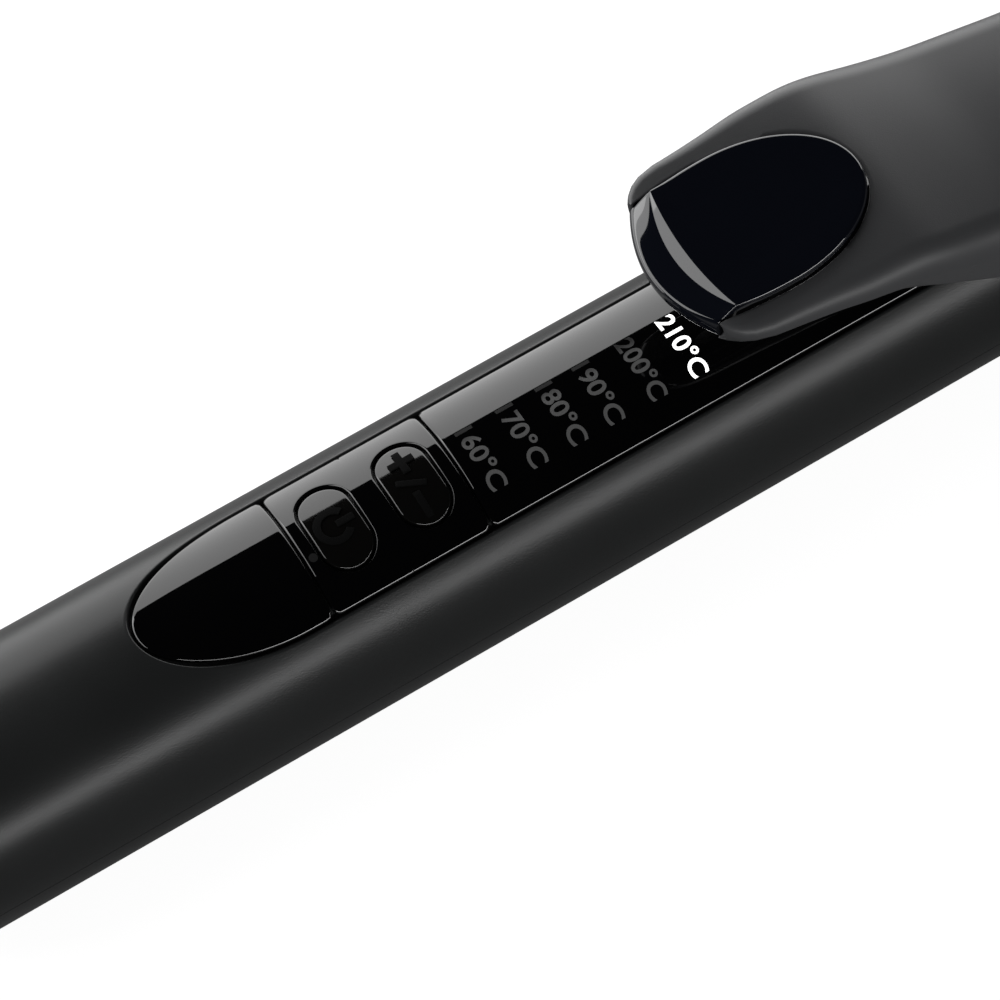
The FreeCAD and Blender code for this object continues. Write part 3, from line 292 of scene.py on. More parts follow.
matte = grained("soft_touch_black", (0.0068, 0.0072, 0.0073), (0.0092, 0.0097, 0.0098), 0.3, 0.05, 5200, 0.016,
                Specular_IOR_Level=0.2)


def panel_outline(grow, nose_steps, run):
    """The panel's rear end seen flat, as x and arc: a half ellipse between two straight sides, grown by a margin."""
    theta = np.linspace(-math.pi / 2, math.pi / 2, nose_steps)
    x = PANEL_BOW - (PANEL_BOW - PANEL_START + grow) * np.cos(theta)
    arc = (PANEL_ARC + grow) * np.sin(theta)
    side = np.full(len(run), PANEL_ARC + grow)
    return np.concatenate([run[::-1], x[1:-1], run]), np.concatenate([-side, arc[1:-1], side])


def handle_half(name, cad_name, upper):
    """One shell as rings: the seam's edge, the round flank, and on the upper shell the recess's rim and floor.

    The upper flank is ruled between the panel's outline and the seam in the flat plane of x and arc."""
    seam = RADIUS * math.pi / 2 - SEAM_GAP
    run = np.concatenate([np.linspace(PANEL_BOW, PANEL_END + 0.001, 60), [PANEL_END + 0.5]])
    if upper:
        x_in, arc_in = panel_outline(0.0, 81, run)
        count = len(run)
        theta = np.linspace(-1, 1, len(x_in) - 2 * count + 2)[1:-1]
        corner = 0.62
        x_nose = np.where(abs(theta) > corner, PANEL_BOW * (abs(theta) - corner) / (1 - corner), 0.0)
        arc_nose = np.clip(theta / corner, -1, 1) * seam
        x_out = np.concatenate([run[::-1], x_nose, run])
        arc_out = np.concatenate([np.full(count, -seam), arc_nose, np.full(count, seam)])
        rows = [wrap(*panel_outline(0.0, 81, run), RECESS_FLOOR)]
        for grow, drop in ((0.0, 0.45), (0.04, 0.22), (0.13, 0.07), (0.27, 0.0), (0.5, 0.0)):
            x_rim, arc_rim = panel_outline(grow, 81, run)
            rows.append(wrap(x_rim, arc_rim, RADIUS - drop))
        x_rim, arc_rim = panel_outline(0.5, 81, run)
        for share in np.linspace(0, 1, 34)[1:]:
            rows.append(wrap(x_rim + (x_out - x_rim) * share, arc_rim + (arc_out - arc_rim) * share, RADIUS))
        edge = np.array([abs(arc_out) > seam - 1e-6, abs(arc_out) > seam - 1e-6]).any(0)
        rows.append(wrap(x_out, np.where(edge, np.sign(arc_out) * (seam + 0.03), arc_out), RADIUS - 0.12))
        rows.append(wrap(x_out, np.where(edge, np.sign(arc_out) * (seam + 0.03), arc_out), RADIUS - WALL))
        grid = np.array(rows)
        points, faces = grid.reshape(-1, 3), quads(*grid.shape[:2])
        floor_x, floor_arc = panel_outline(0.0, 81, run)
        lift = np.linspace(0, 1, 12)[:, None]
        floor_grid = wrap(np.broadcast_to(floor_x, (12, len(floor_x))), floor_arc * (1 - lift), RECESS_FLOOR)
        faces = np.vstack([faces, quads(*floor_grid.shape[:2], start=len(points))])
        points = np.vstack([points, floor_grid.reshape(-1, 3)])
        front = front_of_shell(seam, True)
    else:
        x = np.concatenate([np.linspace(0, PANEL_END + 0.5, 80)])
        arc = np.linspace(-seam, seam, 121)
        ring = np.concatenate([[-seam - 0.03, -seam - 0.03], arc, [seam + 0.03, seam + 0.03]])
        radius = np.concatenate([[RADIUS - WALL, RADIUS - 0.12], np.full(121, RADIUS),
                                 [RADIUS - 0.12, RADIUS - WALL]])
        grid = wrap(x[:, None], ring[None], radius[None])
        points, faces = grid.reshape(-1, 3), quads(*grid.shape[:2])
        front = front_of_shell(seam, False)
    front_points, front_faces = front
    faces = np.vstack([faces, front_faces + len(points)])
    points = np.vstack([points, front_points])
    if not upper:
        low = points / MM - [REAR, 0, AXIS]
        points = place(low[:, 0], -low[:, 1], -low[:, 2])
    return built(name, points, faces, "handle", matte, [cad_name])


def front_of_shell(seam, upper):
    """The last stretch of a shell: the round body, the step and the narrower neck, with its end face."""
    profile = [(PANEL_END + 0.5, RADIUS), (NECK_START - 0.6, RADIUS), (NECK_START - 0.2, RADIUS - 0.12),
               (NECK_START, RADIUS - 0.35), (NECK_START + 1.2, NECK_RADIUS), (HANDLE_END - 0.3, NECK_RADIUS),
               (HANDLE_END, NECK_RADIUS - 0.3), (HANDLE_END, NECK_RADIUS - 1.4)]
    x, radius = np.array(profile).T
    arc = np.linspace(-seam, seam, 121)
    grid = wrap(x[:, None], arc[None], radius[:, None])
    return grid.reshape(-1, 3), quads(*grid.shape[:2])


handle_half("upper_shell_skin", "upper_shell", True)
handle_half("lower_shell_skin", "lower_shell", False)


# ---------------------------------------------------------------- glossy panel inlays
# Three polished black mouldings sit flush in the recess with hairline gaps: the end inlay with its round nose, the
# bezel round the two buttons, and the display window. Their edges are rounded and catch the light.

gloss = grained("gloss_black_inlay", (0.0006, 0.0006, 0.0007), (0.0009, 0.0009, 0.001), 0.035, 0.012, 900, 0.0002,
                IOR=1.46)
INLAY_SIDE, INLAY_GAP = 10.15, 0.25


def rounded(first, second, radius):
    """The distance outside the overlap of two regions, from the distances outside each, with a rounded corner."""
    first, second = first + radius, second + radius
    return np.hypot(np.maximum(first, 0), np.maximum(second, 0)) + np.minimum(np.maximum(first, second), 0) - radius


def rays(start, end, sides, turns):
    """Rays out of a spine along x: straight across from points on it, and fanned round its two ends."""
    run = np.linspace(start, end, sides)
    fan = np.linspace(math.pi / 2, -math.pi / 2, turns)[1:-1]
    x = np.concatenate([run, np.full(turns - 2, end), run[::-1], np.full(turns - 2, start)])
    angle = np.concatenate([np.full(sides, math.pi / 2), fan, np.full(sides, -math.pi / 2), fan + math.pi])
    return x, np.zeros_like(x), np.cos(angle), np.sin(angle)


def reach(outside, spine, level, most=120.0):
    """How far each ray runs until the distance outside the region is the level, found by halving."""
    x, side, dx, dside = spine
    low, high = np.zeros_like(x), np.full_like(x, most)
    for _ in range(44):
        middle = (low + high) / 2
        far = outside(x + dx * middle, side + dside * middle) > level
        low, high = np.where(far, low, middle), np.where(far, middle, high)
    return low


def side_arc(side):
    """The arc on the outer surface that lies above a distance to the side."""
    return RADIUS * np.arcsin(np.clip(side / RADIUS, -1, 1))


def capped(outside, spine, edge, top, inner, seat):
    """A closed moulding on the handle: rings follow the outline inwards, then rows run in to the spine.

    `edge` lists how far in and how far below the surface each ring lies, `top` gives the height over the surface
    from x and side, and the underside is a copy of the outline drawn in to the spine on the radius `seat`."""
    x, side, dx, dside = spine
    rows = []
    for inset, drop in edge:
        far = reach(outside, spine, -inset)
        at_x, at_side = x + dx * far, side + dside * far
        rows.append(wrap(at_x, side_arc(at_side), RADIUS - drop + top(at_x, at_side)))
    for share in np.linspace(1, 0, inner)[1:]:
        at_x, at_side = x + dx * far * share, side + dside * far * share
        rows.append(wrap(at_x, side_arc(at_side), RADIUS + top(at_x, at_side)))
    far = reach(outside, spine, 0.0)
    under = [wrap(x + dx * far * share, side_arc(side + dside * far * share), np.full_like(x, seat))
             for share in np.linspace(0, 1, 9)]
    grid = np.array(under + rows)
    return grid, quads(*grid.shape[:2], loop_columns=True)


EDGE = [(0.0, 0.42), (0.03, 0.27), (0.08, 0.17), (0.16, 0.08), (0.27, 0.02), (0.42, 0.0)]


def nose_outside(x, side, shrink):
    """The distance outside the panel's outline, a half ellipse that runs on as two straight sides."""
    long, wide = PANEL_BOW - PANEL_START - shrink, 10.4 - shrink
    back = np.minimum(x - PANEL_BOW, 0)
    ratio = np.maximum(np.hypot(back / long, side / wide), 1e-6)
    slope = np.hypot(back / long ** 2, side / wide ** 2) / ratio
    return np.where(x < PANEL_BOW, (ratio - 1) / np.maximum(slope, 1e-3), np.abs(side) - wide)


def end_outside(x, side):
    return rounded(nose_outside(x, side, INLAY_GAP), x - 56.17, 0.9)


def window_outside(x, side):
    box = rounded(80.12 - x, np.abs(side) - INLAY_SIDE, 0.9)
    return rounded(box, x - 159.75, 0.9)


def nose_dip(x, side):
    """The end inlay falls away a little towards its tip, by the square of the way to it."""
    return -0.55 * np.clip((46.0 - x) / 13.5, 0, 1) ** 2


def flush(x, side):
    return 0.0 * x


points, faces = capped(end_outside, rays(43.0, 50.0, 24, 61), EDGE, nose_dip, 30, RECESS_FLOOR)
built("end_inlay_skin", points, faces, "handle", gloss, ["end_inlay"])
points, faces = capped(window_outside, rays(88.0, 152.0, 100, 61), EDGE, flush, 30, RECESS_FLOOR)
built("display_window_skin", points, faces, "handle", gloss, ["display_window"])

POWER_X, ROCKER_X, BUTTON_WIDE, BUTTON_LONG, BUTTON_GAP = 62.3, 73.9, 7.2, 12.8, 0.35
SPLIT = (POWER_X + ROCKER_X) / 2


def obround(x, side, centre, grow):
    """The distance outside a button's outline, a slot that runs round the handle, grown by a margin."""
    half = (BUTTON_LONG - BUTTON_WIDE) / 2
    return np.hypot(x - centre, np.maximum(np.abs(side) - half, 0)) - BUTTON_WIDE / 2 - grow


def bezel_cell(start, end, centre):
    """Half of the bezel, from its outer edge in to the wall of its button hole, as rings round that button.

    The ring's rays fan out from the hole's centre; on the split line the two halves meet."""
    theta = np.linspace(0, 2 * math.pi, 241)[:-1]
    spine = (np.full(240, centre), np.zeros(240), np.cos(theta), np.sin(theta))
    meets_start = start == SPLIT

    def outside(x, side):
        ends = rounded(np.abs(side) - INLAY_SIDE, (x - end) if meets_start else (start - x), 0.9)
        return np.maximum(ends, (start - x) if meets_start else (x - end))

    def split_level(inset):
        """The outline shrinks on the three free sides only, so that the halves keep their common line."""
        def free(x, side):
            ends = rounded(np.abs(side) - INLAY_SIDE + inset, (x - end if meets_start else start - x) + inset, 0.9)
            return np.maximum(ends, (start - x) if meets_start else (x - end))
        return reach(free, spine, 0.0)

    def hole(grow):
        return reach(lambda x, side: obround(x, side, centre, grow), spine, 0.0)

    x, side, dx, dside = spine
    rows = []
    levels = [(split_level(0.0), RECESS_FLOOR)] + [(split_level(inset), RADIUS - drop) for inset, drop in EDGE]
    outer, rim = split_level(EDGE[-1][0]), hole(BUTTON_GAP + 0.22)
    levels += [(outer + (rim - outer) * share, RADIUS) for share in np.linspace(0, 1, 15)[1:]]
    levels += [(hole(BUTTON_GAP + inset), RADIUS - drop) for inset, drop in ((0.1, 0.03), (0.03, 0.1), (0.0, 0.25))]
    levels += [(hole(BUTTON_GAP), RECESS_FLOOR)]
    for far, radius in levels + levels[:1]:
        rows.append(wrap(x + dx * far, side_arc(side + dside * far), np.full_like(x, radius)))
    grid = np.array(rows)
    return grid.reshape(-1, 3), quads(*grid.shape[:2], loop_columns=True)


one_points, one_faces = bezel_cell(56.42, SPLIT, POWER_X)
two_points, two_faces = bezel_cell(SPLIT, 79.88, ROCKER_X)
built("button_bezel_skin", np.vstack([one_points, two_points]),
      np.vstack([one_faces, two_faces + len(one_points)]), "handle", gloss, ["button_bezel"])


# ---------------------------------------------------------------- buttons
# The power button and the temperature rocker are gloss black caps with a rounded rim and a top that follows the
# handle, a little higher at its near end.

button_black = grained("button_black", (0.0014, 0.0013, 0.0012), (0.0019, 0.0018, 0.0017), 0.07, 0.02, 2500, 0.0006,
                       IOR=1.46)
BUTTON_RISE, SLANT = 0.03, 0.2


def button(name, cad_name, centre, body):
    """A slot-shaped cap: a wall, a rounded rim and a top that stands a little higher at its near end."""
    theta = np.linspace(0, 2 * math.pi, 181)[:-1]
    half = (BUTTON_LONG - BUTTON_WIDE) / 2
    spine = (np.full(180, centre), half * np.clip(np.sin(theta) * 1.35, -1, 1), np.cos(theta), np.sin(theta))

    def outside(x, side):
        return obround(x, side, centre, 0.0)

    def top(x, side):
        return BUTTON_RISE + SLANT * side / 6.4 + 0.0 * x

    edge = [(0.0, 1.0), (0.0, 0.4), (0.04, 0.2), (0.12, 0.07), (0.24, 0.01), (0.4, 0.0)]
    points, faces = capped(outside, spine, edge, top, 14, RADIUS - 1.3)
    return built(name, points, faces, body, button_black, [cad_name])


button("power_button_cap", "power_button", POWER_X, "power_button")
button("temperature_rocker_cap", "temperature_rocker", ROCKER_X, "temperature_rocker")

# ---------------------------------------------------------------- signs and labels
# The signs on the buttons and the temperatures are printed in dull grey; the temperatures also carry painted shade,
# darkening to near black towards the far side. The highest temperature is lit white.

printed = grained("sign_black", (0.0016, 0.0016, 0.0016), (0.0022, 0.0022, 0.0022), 0.6, 0.05, 4000, 0.003,
                  Specular_IOR_Level=0.02)
dim = grained("label_grey", (0.034, 0.034, 0.034), (0.041, 0.041, 0.041), 0.6, 0.05, 4000, 0.002, Specular_IOR_Level=0.15)
lit = grained("lit_white", (0.8, 0.8, 0.8), (0.85, 0.85, 0.85), 0.5, 0.02, 4000, 0.002,
              Emission_Color=(1, 1, 1, 1), Emission_Strength=0.95)
SIGN_RISE = 0.05


def sign(name, centre_x, centre_arc, outside, spine, body, rise, edge=((0.0, 0.12), (0.03, 0.02), (0.1, 0.0))):
    """A raised sign on the button: rings follow its outline inwards, and it is wrapped over the surface."""
    x, side, dx, dside = spine
    rows = []
    for inset, drop in edge:
        far = reach(outside, spine, -inset, 9.0)
        rows.append(wrap(centre_x + x + dx * far, centre_arc + side + dside * far, RADIUS + rise - drop))
    for share in (0.75, 0.5, 0.25, 0.0):
        rows.append(wrap(centre_x + x + dx * far * share, centre_arc + side + dside * far * share, RADIUS + rise))
    grid = np.array(rows)
    number = quads(*grid.shape[:2], loop_columns=True)
    return built(name, grid, number, body, printed)


def bar(long, wide, angle):
    """The distance outside a bar, turned by an angle from x."""
    cos, sin = math.cos(angle), math.sin(angle)

    def outside(x, side):
        return np.maximum(np.abs(x * cos + side * sin) - long / 2, np.abs(side * cos - x * sin) - wide / 2)
    return outside


def star(count=120):
    theta = np.linspace(0, 2 * math.pi, count + 1)[:-1]
    return np.zeros(count), np.zeros(count), np.cos(theta), np.sin(theta)


PLUS_X, PLUS_RISE = 74.15, 0.2
sign("plus_sign", PLUS_X, -3.3, lambda x, side: np.minimum(bar(3.7, 1.1, 0)(x, side), bar(3.7, 1.1, math.pi / 2)(x, side)),
     star(240), "temperature_rocker", PLUS_RISE)
sign("slash_sign", PLUS_X - 0.45, 0.2, bar(4.1, 0.9, math.radians(26)), star(), "temperature_rocker", PLUS_RISE)
sign("minus_sign", PLUS_X - 0.55, 3.7, bar(4.3, 1.1, math.pi / 2), star(), "temperature_rocker", PLUS_RISE)


def power_sign():
    """An open ring and a bar in its gap: a flat band carried round an arc, and a bar through the opening."""
    angle = np.linspace(math.radians(38), math.radians(322), 73)
    rows = []
    for radius, drop in ((1.65, 0.12), (1.7, 0.01), (1.85, 0.0), (2.2, 0.0), (2.55, 0.0), (2.7, 0.01), (2.75, 0.12)):
        rows.append(wrap(POWER_X - 0.2 + radius * np.cos(angle), 0.1 + radius * np.sin(angle),
                         RADIUS + PLUS_RISE - drop))
    grid = np.array(rows)
    built("power_ring_sign", grid, quads(*grid.shape[:2]), "power_button", printed)
    sign("power_bar_sign", POWER_X + 1.5, 0.1, bar(2.6, 1.0, 0), star(), "power_button", PLUS_RISE)


power_sign()


def label(name, text, centre_x, start_arc, end_arc, material, rise=0.012):
    """A line of bold letters set round the handle, cut into strips so that it can follow the surface."""
    curve = bpy.data.curves.new(name, "FONT")
    curve.body, curve.size, curve.offset = text, 3.6, 0.075
    curve.resolution_u = 8
    made = bpy.data.objects.new(name, curve)
    bpy.context.scene.collection.objects.link(made)
    bpy.context.view_layer.update()
    flat = bpy.data.meshes.new_from_object(made)
    bpy.data.objects.remove(made)
    work = bmesh.new()
    work.from_mesh(flat)
    spots = np.array([vertex.co[:2] for vertex in work.verts])
    low, high = spots.min(0), spots.max(0)
    for cut in np.arange(low[0] + 0.2, high[0], 0.25):
        everything = work.verts[:] + work.edges[:] + work.faces[:]
        bmesh.ops.bisect_plane(work, geom=everything, plane_co=(cut, 0, 0), plane_no=(1, 0, 0))
    mesh = bpy.data.meshes.new(name)
    bmesh.ops.triangulate(work, faces=work.faces)
    work.to_mesh(mesh)
    work.free()
    flat_points = np.empty(len(mesh.vertices) * 3)
    mesh.vertices.foreach_get("co", flat_points)
    flat_points = flat_points.reshape(-1, 3)
    arc = start_arc + (flat_points[:, 0] - low[0]) * (end_arc - start_arc) / (high[0] - low[0])
    x = centre_x + flat_points[:, 1] - (low[1] + high[1]) / 2
    mesh.vertices.foreach_set("co", wrap(x, arc, RADIUS + rise).ravel())
    mesh.materials.append(material)
    made = bpy.data.objects.new(name, mesh)
    bpy.context.scene.collection.objects.link(made)
    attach(made, "handle")
    return made


# Painted shade on the temperatures: their grey fades to near black across the far side of the handle, where the
# window's reflection lies; the print itself is one grey.
tree = dim.node_tree
near_side = node(tree, "ShaderNodeSeparateXYZ", None, node(tree, "ShaderNodeTexCoord", None, out=3), out=1)
shown = node(tree, "ShaderNodeMapRange", None, near_side, 0.0026, 0.0006, 0.0, 1.0)
feed(dim, "Base Color", mixed(tree, shown, (0.001, 0.001, 0.001), (0.055, 0.055, 0.055)))
LABEL_X = (83.5, 89.7, 95.8, 101.5, 108.1, 114.5)
for count, spot in enumerate(LABEL_X):
    degrees = 160 + 10 * count
    label(f"label_{degrees}", f"{degrees}\u00b0C", spot, -3.2, 6.7, lit if degrees == 210 else dim)


# ---------------------------------------------------------------- thumb lever
# One matte moulding: an arched shell, open below, that widens behind its nose and falls away to the clamp. Its top
# has an opening for the pad. The outer skin is worked out here and a modifier gives it its wall.

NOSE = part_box("lever_insert")[0].x / MM - REAR
LEVER_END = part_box("lever_body")[1].x / MM - REAR
PAD_BOW, PAD_REACH, PAD_HALF, PAD_TOP = NOSE + 14.9, 16.6, 11.0, 36.0


def eased(x, table, spread):
    """A value read from a table of straight runs, with every corner rounded by averaging over a spread."""
    at, values = np.array(table).T
    offsets = np.linspace(-1, 1, 13)
    weights = 1.05 - np.abs(offsets)
    shifted = [np.interp(x + spread * offset, at, values) * weight for offset, weight in zip(offsets, weights)]
    return sum(shifted) / weights.sum()


def lever_half(x):
    """Half the lever's width at a place along it; the nose's own rounding isn't averaged."""
    blunt = np.interp(x - NOSE, [3.6, 4.2, 5.4, 6.9, 9.4, 12.9], [11.5, 12.4, 13.5, 14.3, 14.95, 15.3])
    soft = eased(x - NOSE, [(9.4, 14.95), (12.9, 15.3), (17.9, 15.9), (22.9, 16.7), (36, 17.6), (83, 17.6),
                            (97, 15.6)], 3.0)
    return np.where(x - NOSE < 11, blunt, soft)


def lever_top(x):
    return eased(x - NOSE, [(0, 35), (31, 35), (50, 28.4), (67, 24.2), (85, 21.9), (97, 16.2)], 5.0)


def lever_bottom(x):
    return eased(x - NOSE, [(0, 30.4), (23, 30.4), (34, 26.4), (52, 13.5), (64, 8), (97, 8)], 4.0)


def edge_radius(x):
    return eased(x - NOSE, [(0, 1.1), (5, 1.3), (12, 2.2), (40, 4.5), (97, 5.0)], 3.0)


def arch(x, side):
    """The lever's outer height: its top, less a crown by the square of the way out, less a quarter circle at the
    edge. Beyond the edge a wall goes straight down."""
    radius = edge_radius(x)
    near = np.clip(1 - (lever_half(x) - np.abs(side)) / radius, 0, 1)
    crown = eased(x - NOSE, [(0, 0.35), (20, 0.5), (45, 1.6), (97, 1.8)], 3.0)
    return lever_top(x) - crown * (side / lever_half(x)) ** 2 - radius * (1 - np.sqrt(1 - near ** 2))


def pad_half(x):
    """Half the pad's width: an ellipse behind its widest place, and a slight waist towards the nose."""
    rear = PAD_HALF * np.sqrt(np.clip(1 - ((x - PAD_BOW) / PAD_REACH) ** 2, 0, 1))
    return np.where(x > PAD_BOW, rear, np.maximum(PAD_HALF - 0.7 * ((PAD_BOW - x) / 10) ** 2, 10.3))


def thickened(made, wall):
    """Gives a skin its wall, inwards, with the rim closed."""
    solid = made.modifiers.new("wall", "SOLIDIFY")
    solid.thickness, solid.offset, solid.use_rim, solid.use_even_offset = wall * MM, -1, True, False
    return made


def lever_skin():
    """Two patches that share a line across the lever: one is ruled from the pad's outline out to the lever's edge
    and to that line, the other is made of arches along the rest."""
    sides, backs, joint_x = 70, 61, NOSE + 38.0
    grow = 0.3
    turn = np.linspace(0, math.pi / 2, 46)
    x_side = np.linspace(NOSE + 3.5, PAD_BOW, 40)
    pad_x = np.concatenate([x_side, PAD_BOW + (PAD_REACH + grow) * np.sin(turn[1:])])
    pad_y = np.concatenate([pad_half(x_side) + grow, (PAD_HALF + grow) * np.cos(turn[1:])])
    run = np.concatenate([[0], np.cumsum(np.hypot(np.diff(pad_x), np.diff(pad_y)))])
    edge_x = np.concatenate([np.linspace(NOSE + 3.6, NOSE + 12, 24), np.linspace(NOSE + 12, joint_x, sides - 23)[1:]])
    across = lever_half(np.array([joint_x])) * np.cos(np.linspace(0, math.pi / 2, backs))
    out_x = np.concatenate([edge_x, np.full(backs - 1, joint_x)])
    out_y = np.concatenate([lever_half(edge_x), across[1:]])
    split = 0.66
    share = np.concatenate([np.linspace(0, split, sides), np.linspace(split, 1, backs)[1:]]) ** 1.0
    in_x, in_y = np.interp(share * run[-1], run, pad_x), np.interp(share * run[-1], run, pad_y)
    in_x, in_y = np.concatenate([in_x, in_x[-2::-1]]), np.concatenate([in_y, -in_y[-2::-1]])
    out_x, out_y = np.concatenate([out_x, out_x[-2::-1]]), np.concatenate([out_y, -out_y[-2::-1]])
    steps = 1 - (1 - np.linspace(0, 1, 40)) ** 2.6
    rows = []
    width = np.hypot(out_x - in_x, out_y - in_y)
    for drop, inset in ((0.3, 0.0), (0.1, 0.05), (0.0, 0.2)):
        near = inset / np.maximum(width, 0.3)
        at_x, at_y = in_x + (out_x - in_x) * near, in_y + (out_y - in_y) * near
        rows.append(place(at_x, at_y, arch(at_x, at_y) - drop * np.clip((width - 1.6) / 2, 0, 1)))
    for step in steps[1:]:
        near = np.minimum(0.2 / np.maximum(np.hypot(out_x - in_x, out_y - in_y), 0.3), 1)
        step = near + (1 - near) * step
        at_x, at_y = in_x + (out_x - in_x) * step, in_y + (out_y - in_y) * step
        rows.append(place(at_x, at_y, arch(at_x, at_y)))
    top = arch(out_x, out_y)
    on_line = (out_x > joint_x - 1e-6) & (np.abs(out_y) < lever_half(out_x) - 1e-6)
    for share in (0.25, 0.5, 0.75, 0.94, 1.0):
        at_z = top + (lever_bottom(out_x) - top) * share
        tuck = np.where(on_line, 0, 0.11 * share ** 1.6 * np.clip((34 - out_x + NOSE) / 12, 0, 1))
        rows.append(place(out_x, out_y * (1 - tuck), np.where(on_line, top, at_z)))
    grid = np.array(rows)
    points, faces = grid.reshape(-1, 3), quads(*grid.shape[:2])
    x = np.linspace(joint_x, LEVER_END, 70)[:, None]
    ratio = np.concatenate([np.cos(np.linspace(0, math.pi / 2, backs)), -np.cos(np.linspace(0, math.pi / 2, backs))[-2::-1]])
    y = lever_half(x) * ratio[None]
    z = arch(x, y)
    wall = np.array([1.0, 0.94, 0.75, 0.5, 0.25])[None]
    wall_z = z[:, :1] + (lever_bottom(x) - z[:, :1]) * wall
    z = np.concatenate([wall_z, z, wall_z[:, ::-1]], 1)
    y = np.concatenate([np.repeat(y[:, :1], 5, 1), y, np.repeat(y[:, -1:], 5, 1)], 1)
    rear = place(x, y, z)
    faces = np.vstack([faces, quads(*rear.shape[:2], start=len(points))])
    return np.vstack([points, rear.reshape(-1, 3)]), faces


points, faces = lever_skin()
lever_matte = grained("lever_black", (0.026, 0.0265, 0.028), (0.032, 0.0325, 0.034), 0.42, 0.05, 5200, 0.012,
                      Specular_IOR_Level=0.25)
thickened(built("lever_shell", points, faces, "lever", lever_matte, ["lever_body"]), 1.5)

# ---------------------------------------------------------------- thumb pad
# A polished black insert fills the opening in the lever's top. In front it has a bevel below the pad's straight
# edge and a rounded nose that wraps down over the lever's front.

pad_black = grained("gloss_black_pad", (0.0022, 0.0026, 0.0042), (0.0027, 0.0032, 0.0052), 0.045, 0.012, 900, 0.0002,
                    IOR=1.46)


def pad_skin():
    """Rows run from the lip under the nose, over the nose, the bevel and the ridge, to the pad's rear tip. Each row
    bows forward by its own share of the width's square, and every edge falls away along a quarter circle."""
    lip = [(3.4, 30.9, 0.030, 0), (2.6, 30.5, 0.030, 0), (1.9, 30.42, 0.030, 0), (1.2, 30.5, 0.030, 0),
           (0.7, 30.75, 0.030, 0), (0.35, 31.2, 0.030, 0), (0.12, 31.9, 0.0299, 0), (0.02, 32.6, 0.0298, 0.001),
           (0.0, 32.9, 0.0297, 0.002), (0.06, 33.2, 0.0297, 0.003), (0.22, 33.5, 0.0296, 0.004),
           (0.48, 33.72, 0.0295, 0.005), (0.8, 33.86, 0.0293, 0.0058), (1.2, 34.03, 0.029, 0.0065),
           (1.9, 34.33, 0.028, 0.0075), (2.7, 34.66, 0.0265, 0.0088), (3.3, 34.9, 0.0252, 0.0094),
           (3.6, 35.01, 0.0246, 0.0096)]
    bevel = [(3.68 + 1.47 * share, 35.05 + 1.05 * share, 0.0245 - 0.0135 * share, 0.0096 * (1 - share))
             for share in (0.0, 0.1, 0.3, 0.5, 0.7, 0.9, 0.97)]
    ridge = [(5.2, 36.115, 0.011, 0), (5.28, 36.125, 0.011, 0), (5.4, 36.12, 0.011, 0), (6.2, 36.05, 0.0105, 0),
             (7.5, 35.99, 0.009, 0)]
    x, z, bow, lift = np.array(lip + bevel + ridge).T
    front = np.stack([x, z, pad_half(x + NOSE), bow, lift], 1)
    fine = np.linspace(0, len(front) - 1, 4 * len(front) - 3)
    front = np.stack([np.interp(fine, np.arange(len(front)), column) for column in front.T], 1)
    padded = np.pad(front, ((3, 3), (0, 0)), "edge")
    front = sum(padded[shift:shift + len(front)] * weight for shift, weight in enumerate((1, 2, 3, 4, 3, 2, 1))) / 16
    turn = np.linspace(0, math.pi / 2, 60)
    inner_x = np.concatenate([np.linspace(9, 14.9, 14)[:-1], 14.9 + 16.6 * np.sin(turn)])
    bow = 0.009 * np.clip(1 - (inner_x - 7.5) / 6, 0, 1) ** 2
    rear = np.stack([inner_x, np.full(len(inner_x), PAD_TOP), pad_half(inner_x + NOSE), bow, 0 * bow], 1)
    rows = np.concatenate([front, rear])
    across = np.sin(np.linspace(-math.pi / 2, math.pi / 2, 121))[None]
    x, z, half, bow, lift = (rows[:, index, None] for index in range(5))
    y = across * half
    z = z + lift * y ** 2
    at_x = x + bow * y ** 2
    ratio = np.hypot(np.maximum(at_x - 14.9, 0) / PAD_REACH, y / PAD_HALF)
    slope = np.hypot(np.maximum(at_x - 14.9, 0) / PAD_REACH ** 2, y / PAD_HALF ** 2) / np.maximum(ratio, 1e-6)
    inward = np.where(at_x > 14.9, (1 - ratio) / np.maximum(slope, 1e-3), half - np.abs(y))
    inward = np.maximum(inward, 0)
    radius = 0.3 + 0.45 * np.clip((x - 5) / 4, 0, 1)
    near = np.clip(1 - inward / radius, 0, 1)
    drop = radius * (1 - np.sqrt(1 - near ** 2)) * np.clip((z - 33.5) / 1.5, 0, 1)
    dish = 0.16 * np.clip(inward / 5, 0, 1) ** 2 * np.clip((x - 6) / 5, 0, 1)
    outer = np.stack([at_x, y, z - drop - dish], -1)
    order = np.arange(len(rows))[:, None]
    inner_x = np.maximum(x, 3.4) + bow * y ** 2
    inner_z = np.interp(order, [0, 4 * len(lip) - 4, len(front) - 1], [30.95, 33.5, PAD_TOP - 1.4])
    inner = np.stack([inner_x, y * 0.985, inner_z + 0 * y], -1)
    ring = np.concatenate([outer, inner[:, ::-1]], 1)
    return place(NOSE + ring[..., 0], ring[..., 1], ring[..., 2])


grid = pad_skin()
columns = grid.shape[1]
low_end = np.stack([np.arange(columns // 2 - 1), np.arange(1, columns // 2),
                    columns - 2 - np.arange(columns // 2 - 1), columns - 1 - np.arange(columns // 2 - 1)], 1)
faces = np.vstack([quads(*grid.shape[:2], loop_columns=True), low_end])
built("thumb_pad", grid, faces, "lever", pad_black, ["lever_insert"])

# ---------------------------------------------------------------- carried-over pieces
# Every other piece keeps its CAD shape and takes the finish of its material slot.

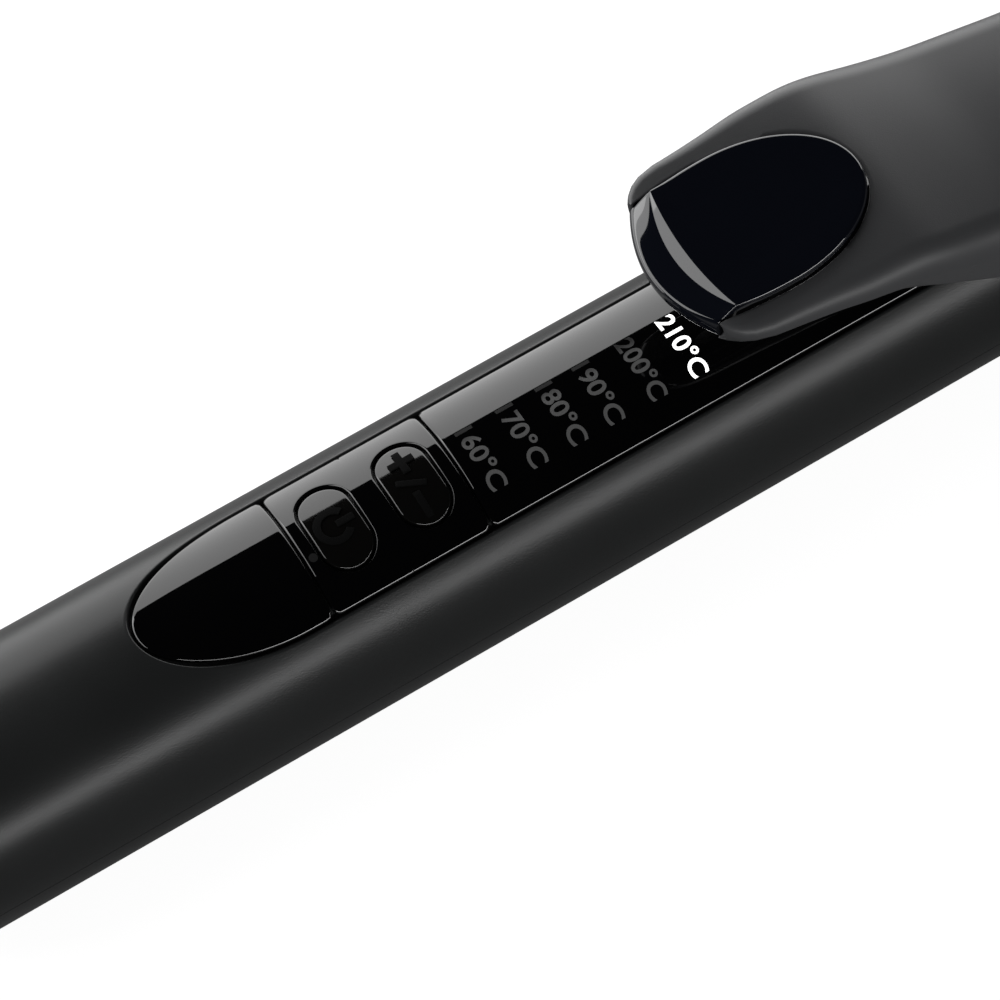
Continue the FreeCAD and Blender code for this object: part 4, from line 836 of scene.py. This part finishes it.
finishes = {
    "matte_shell": matte, "gloss_inlay": gloss, "button_black": button_black,
    "heat_plastic": grained("heat_plastic", (0.016, 0.016, 0.016), (0.021, 0.021, 0.021), 0.5, 0.06, 4200, 0.014),
    "coated_barrel": grained("barrel_coating", (0.022, 0.022, 0.024), (0.027, 0.027, 0.029), 0.3, 0.06, 3000, 0.002,
                             Metallic=0.55),
    "coated_clamp": grained("clamp_coating", (0.024, 0.024, 0.026), (0.03, 0.03, 0.032), 0.28, 0.06, 3000, 0.002,
                            Metallic=0.55),
    "wire_steel": grained("nickel_wire", (0.25, 0.25, 0.26), (0.33, 0.33, 0.34), 0.25, 0.08, 2500, 0.002,
                          Metallic=1.0),
    "steel": grained("plain_steel", (0.5, 0.5, 0.51), (0.58, 0.58, 0.59), 0.3, 0.1, 2500, 0.003, Metallic=1.0),
    "brass": grained("bright_brass", (0.68, 0.5, 0.22), (0.76, 0.58, 0.28), 0.25, 0.1, 2500, 0.003, Metallic=1.0),
    "aluminium": grained("extruded_aluminium", (0.66, 0.66, 0.68), (0.74, 0.74, 0.76), 0.4, 0.1, 2500, 0.006,
                         Metallic=1.0),
    "board_green": grained("circuit_board", (0.03, 0.19, 0.09), (0.05, 0.24, 0.12), 0.4, 0.08, 1800, 0.01),
    "ceramic_white": grained("white_ceramic", (0.76, 0.75, 0.72), (0.83, 0.82, 0.79), 0.7, 0.08, 2600, 0.012),
    "clear_guide": grained("clear_guide", (0.85, 0.88, 0.92), (0.92, 0.94, 0.97), 0.15, 0.05, 1200, 0.002,
                           Transmission_Weight=0.85),
    "lamp_white": grained("lamp_lens", (0.5, 0.49, 0.46), (0.58, 0.57, 0.53), 0.3, 0.05, 1500, 0.002),
    "mica": grained("pressed_mica", (0.55, 0.45, 0.3), (0.66, 0.56, 0.4), 0.5, 0.12, 900, 0.01),
    "lead_grey": grained("silicone_lead", (0.48, 0.48, 0.48), (0.56, 0.56, 0.56), 0.6, 0.06, 3000, 0.006),
    "white_nylon": grained("white_nylon", (0.75, 0.75, 0.73), (0.82, 0.82, 0.8), 0.5, 0.06, 2600, 0.006),
}
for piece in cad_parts.values():
    for slot in piece.material_slots:
        slot.material = finishes[slot.material.name.split(".")[0]]
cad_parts["indicator_pipe"].material_slots[0].material = grained(
    "indicator_lens", (0.006, 0.006, 0.006), (0.009, 0.009, 0.009), 0.25, 0.05, 1500, 0.001)

view = bpy.context.scene.view_settings
view.view_transform = "Standard"
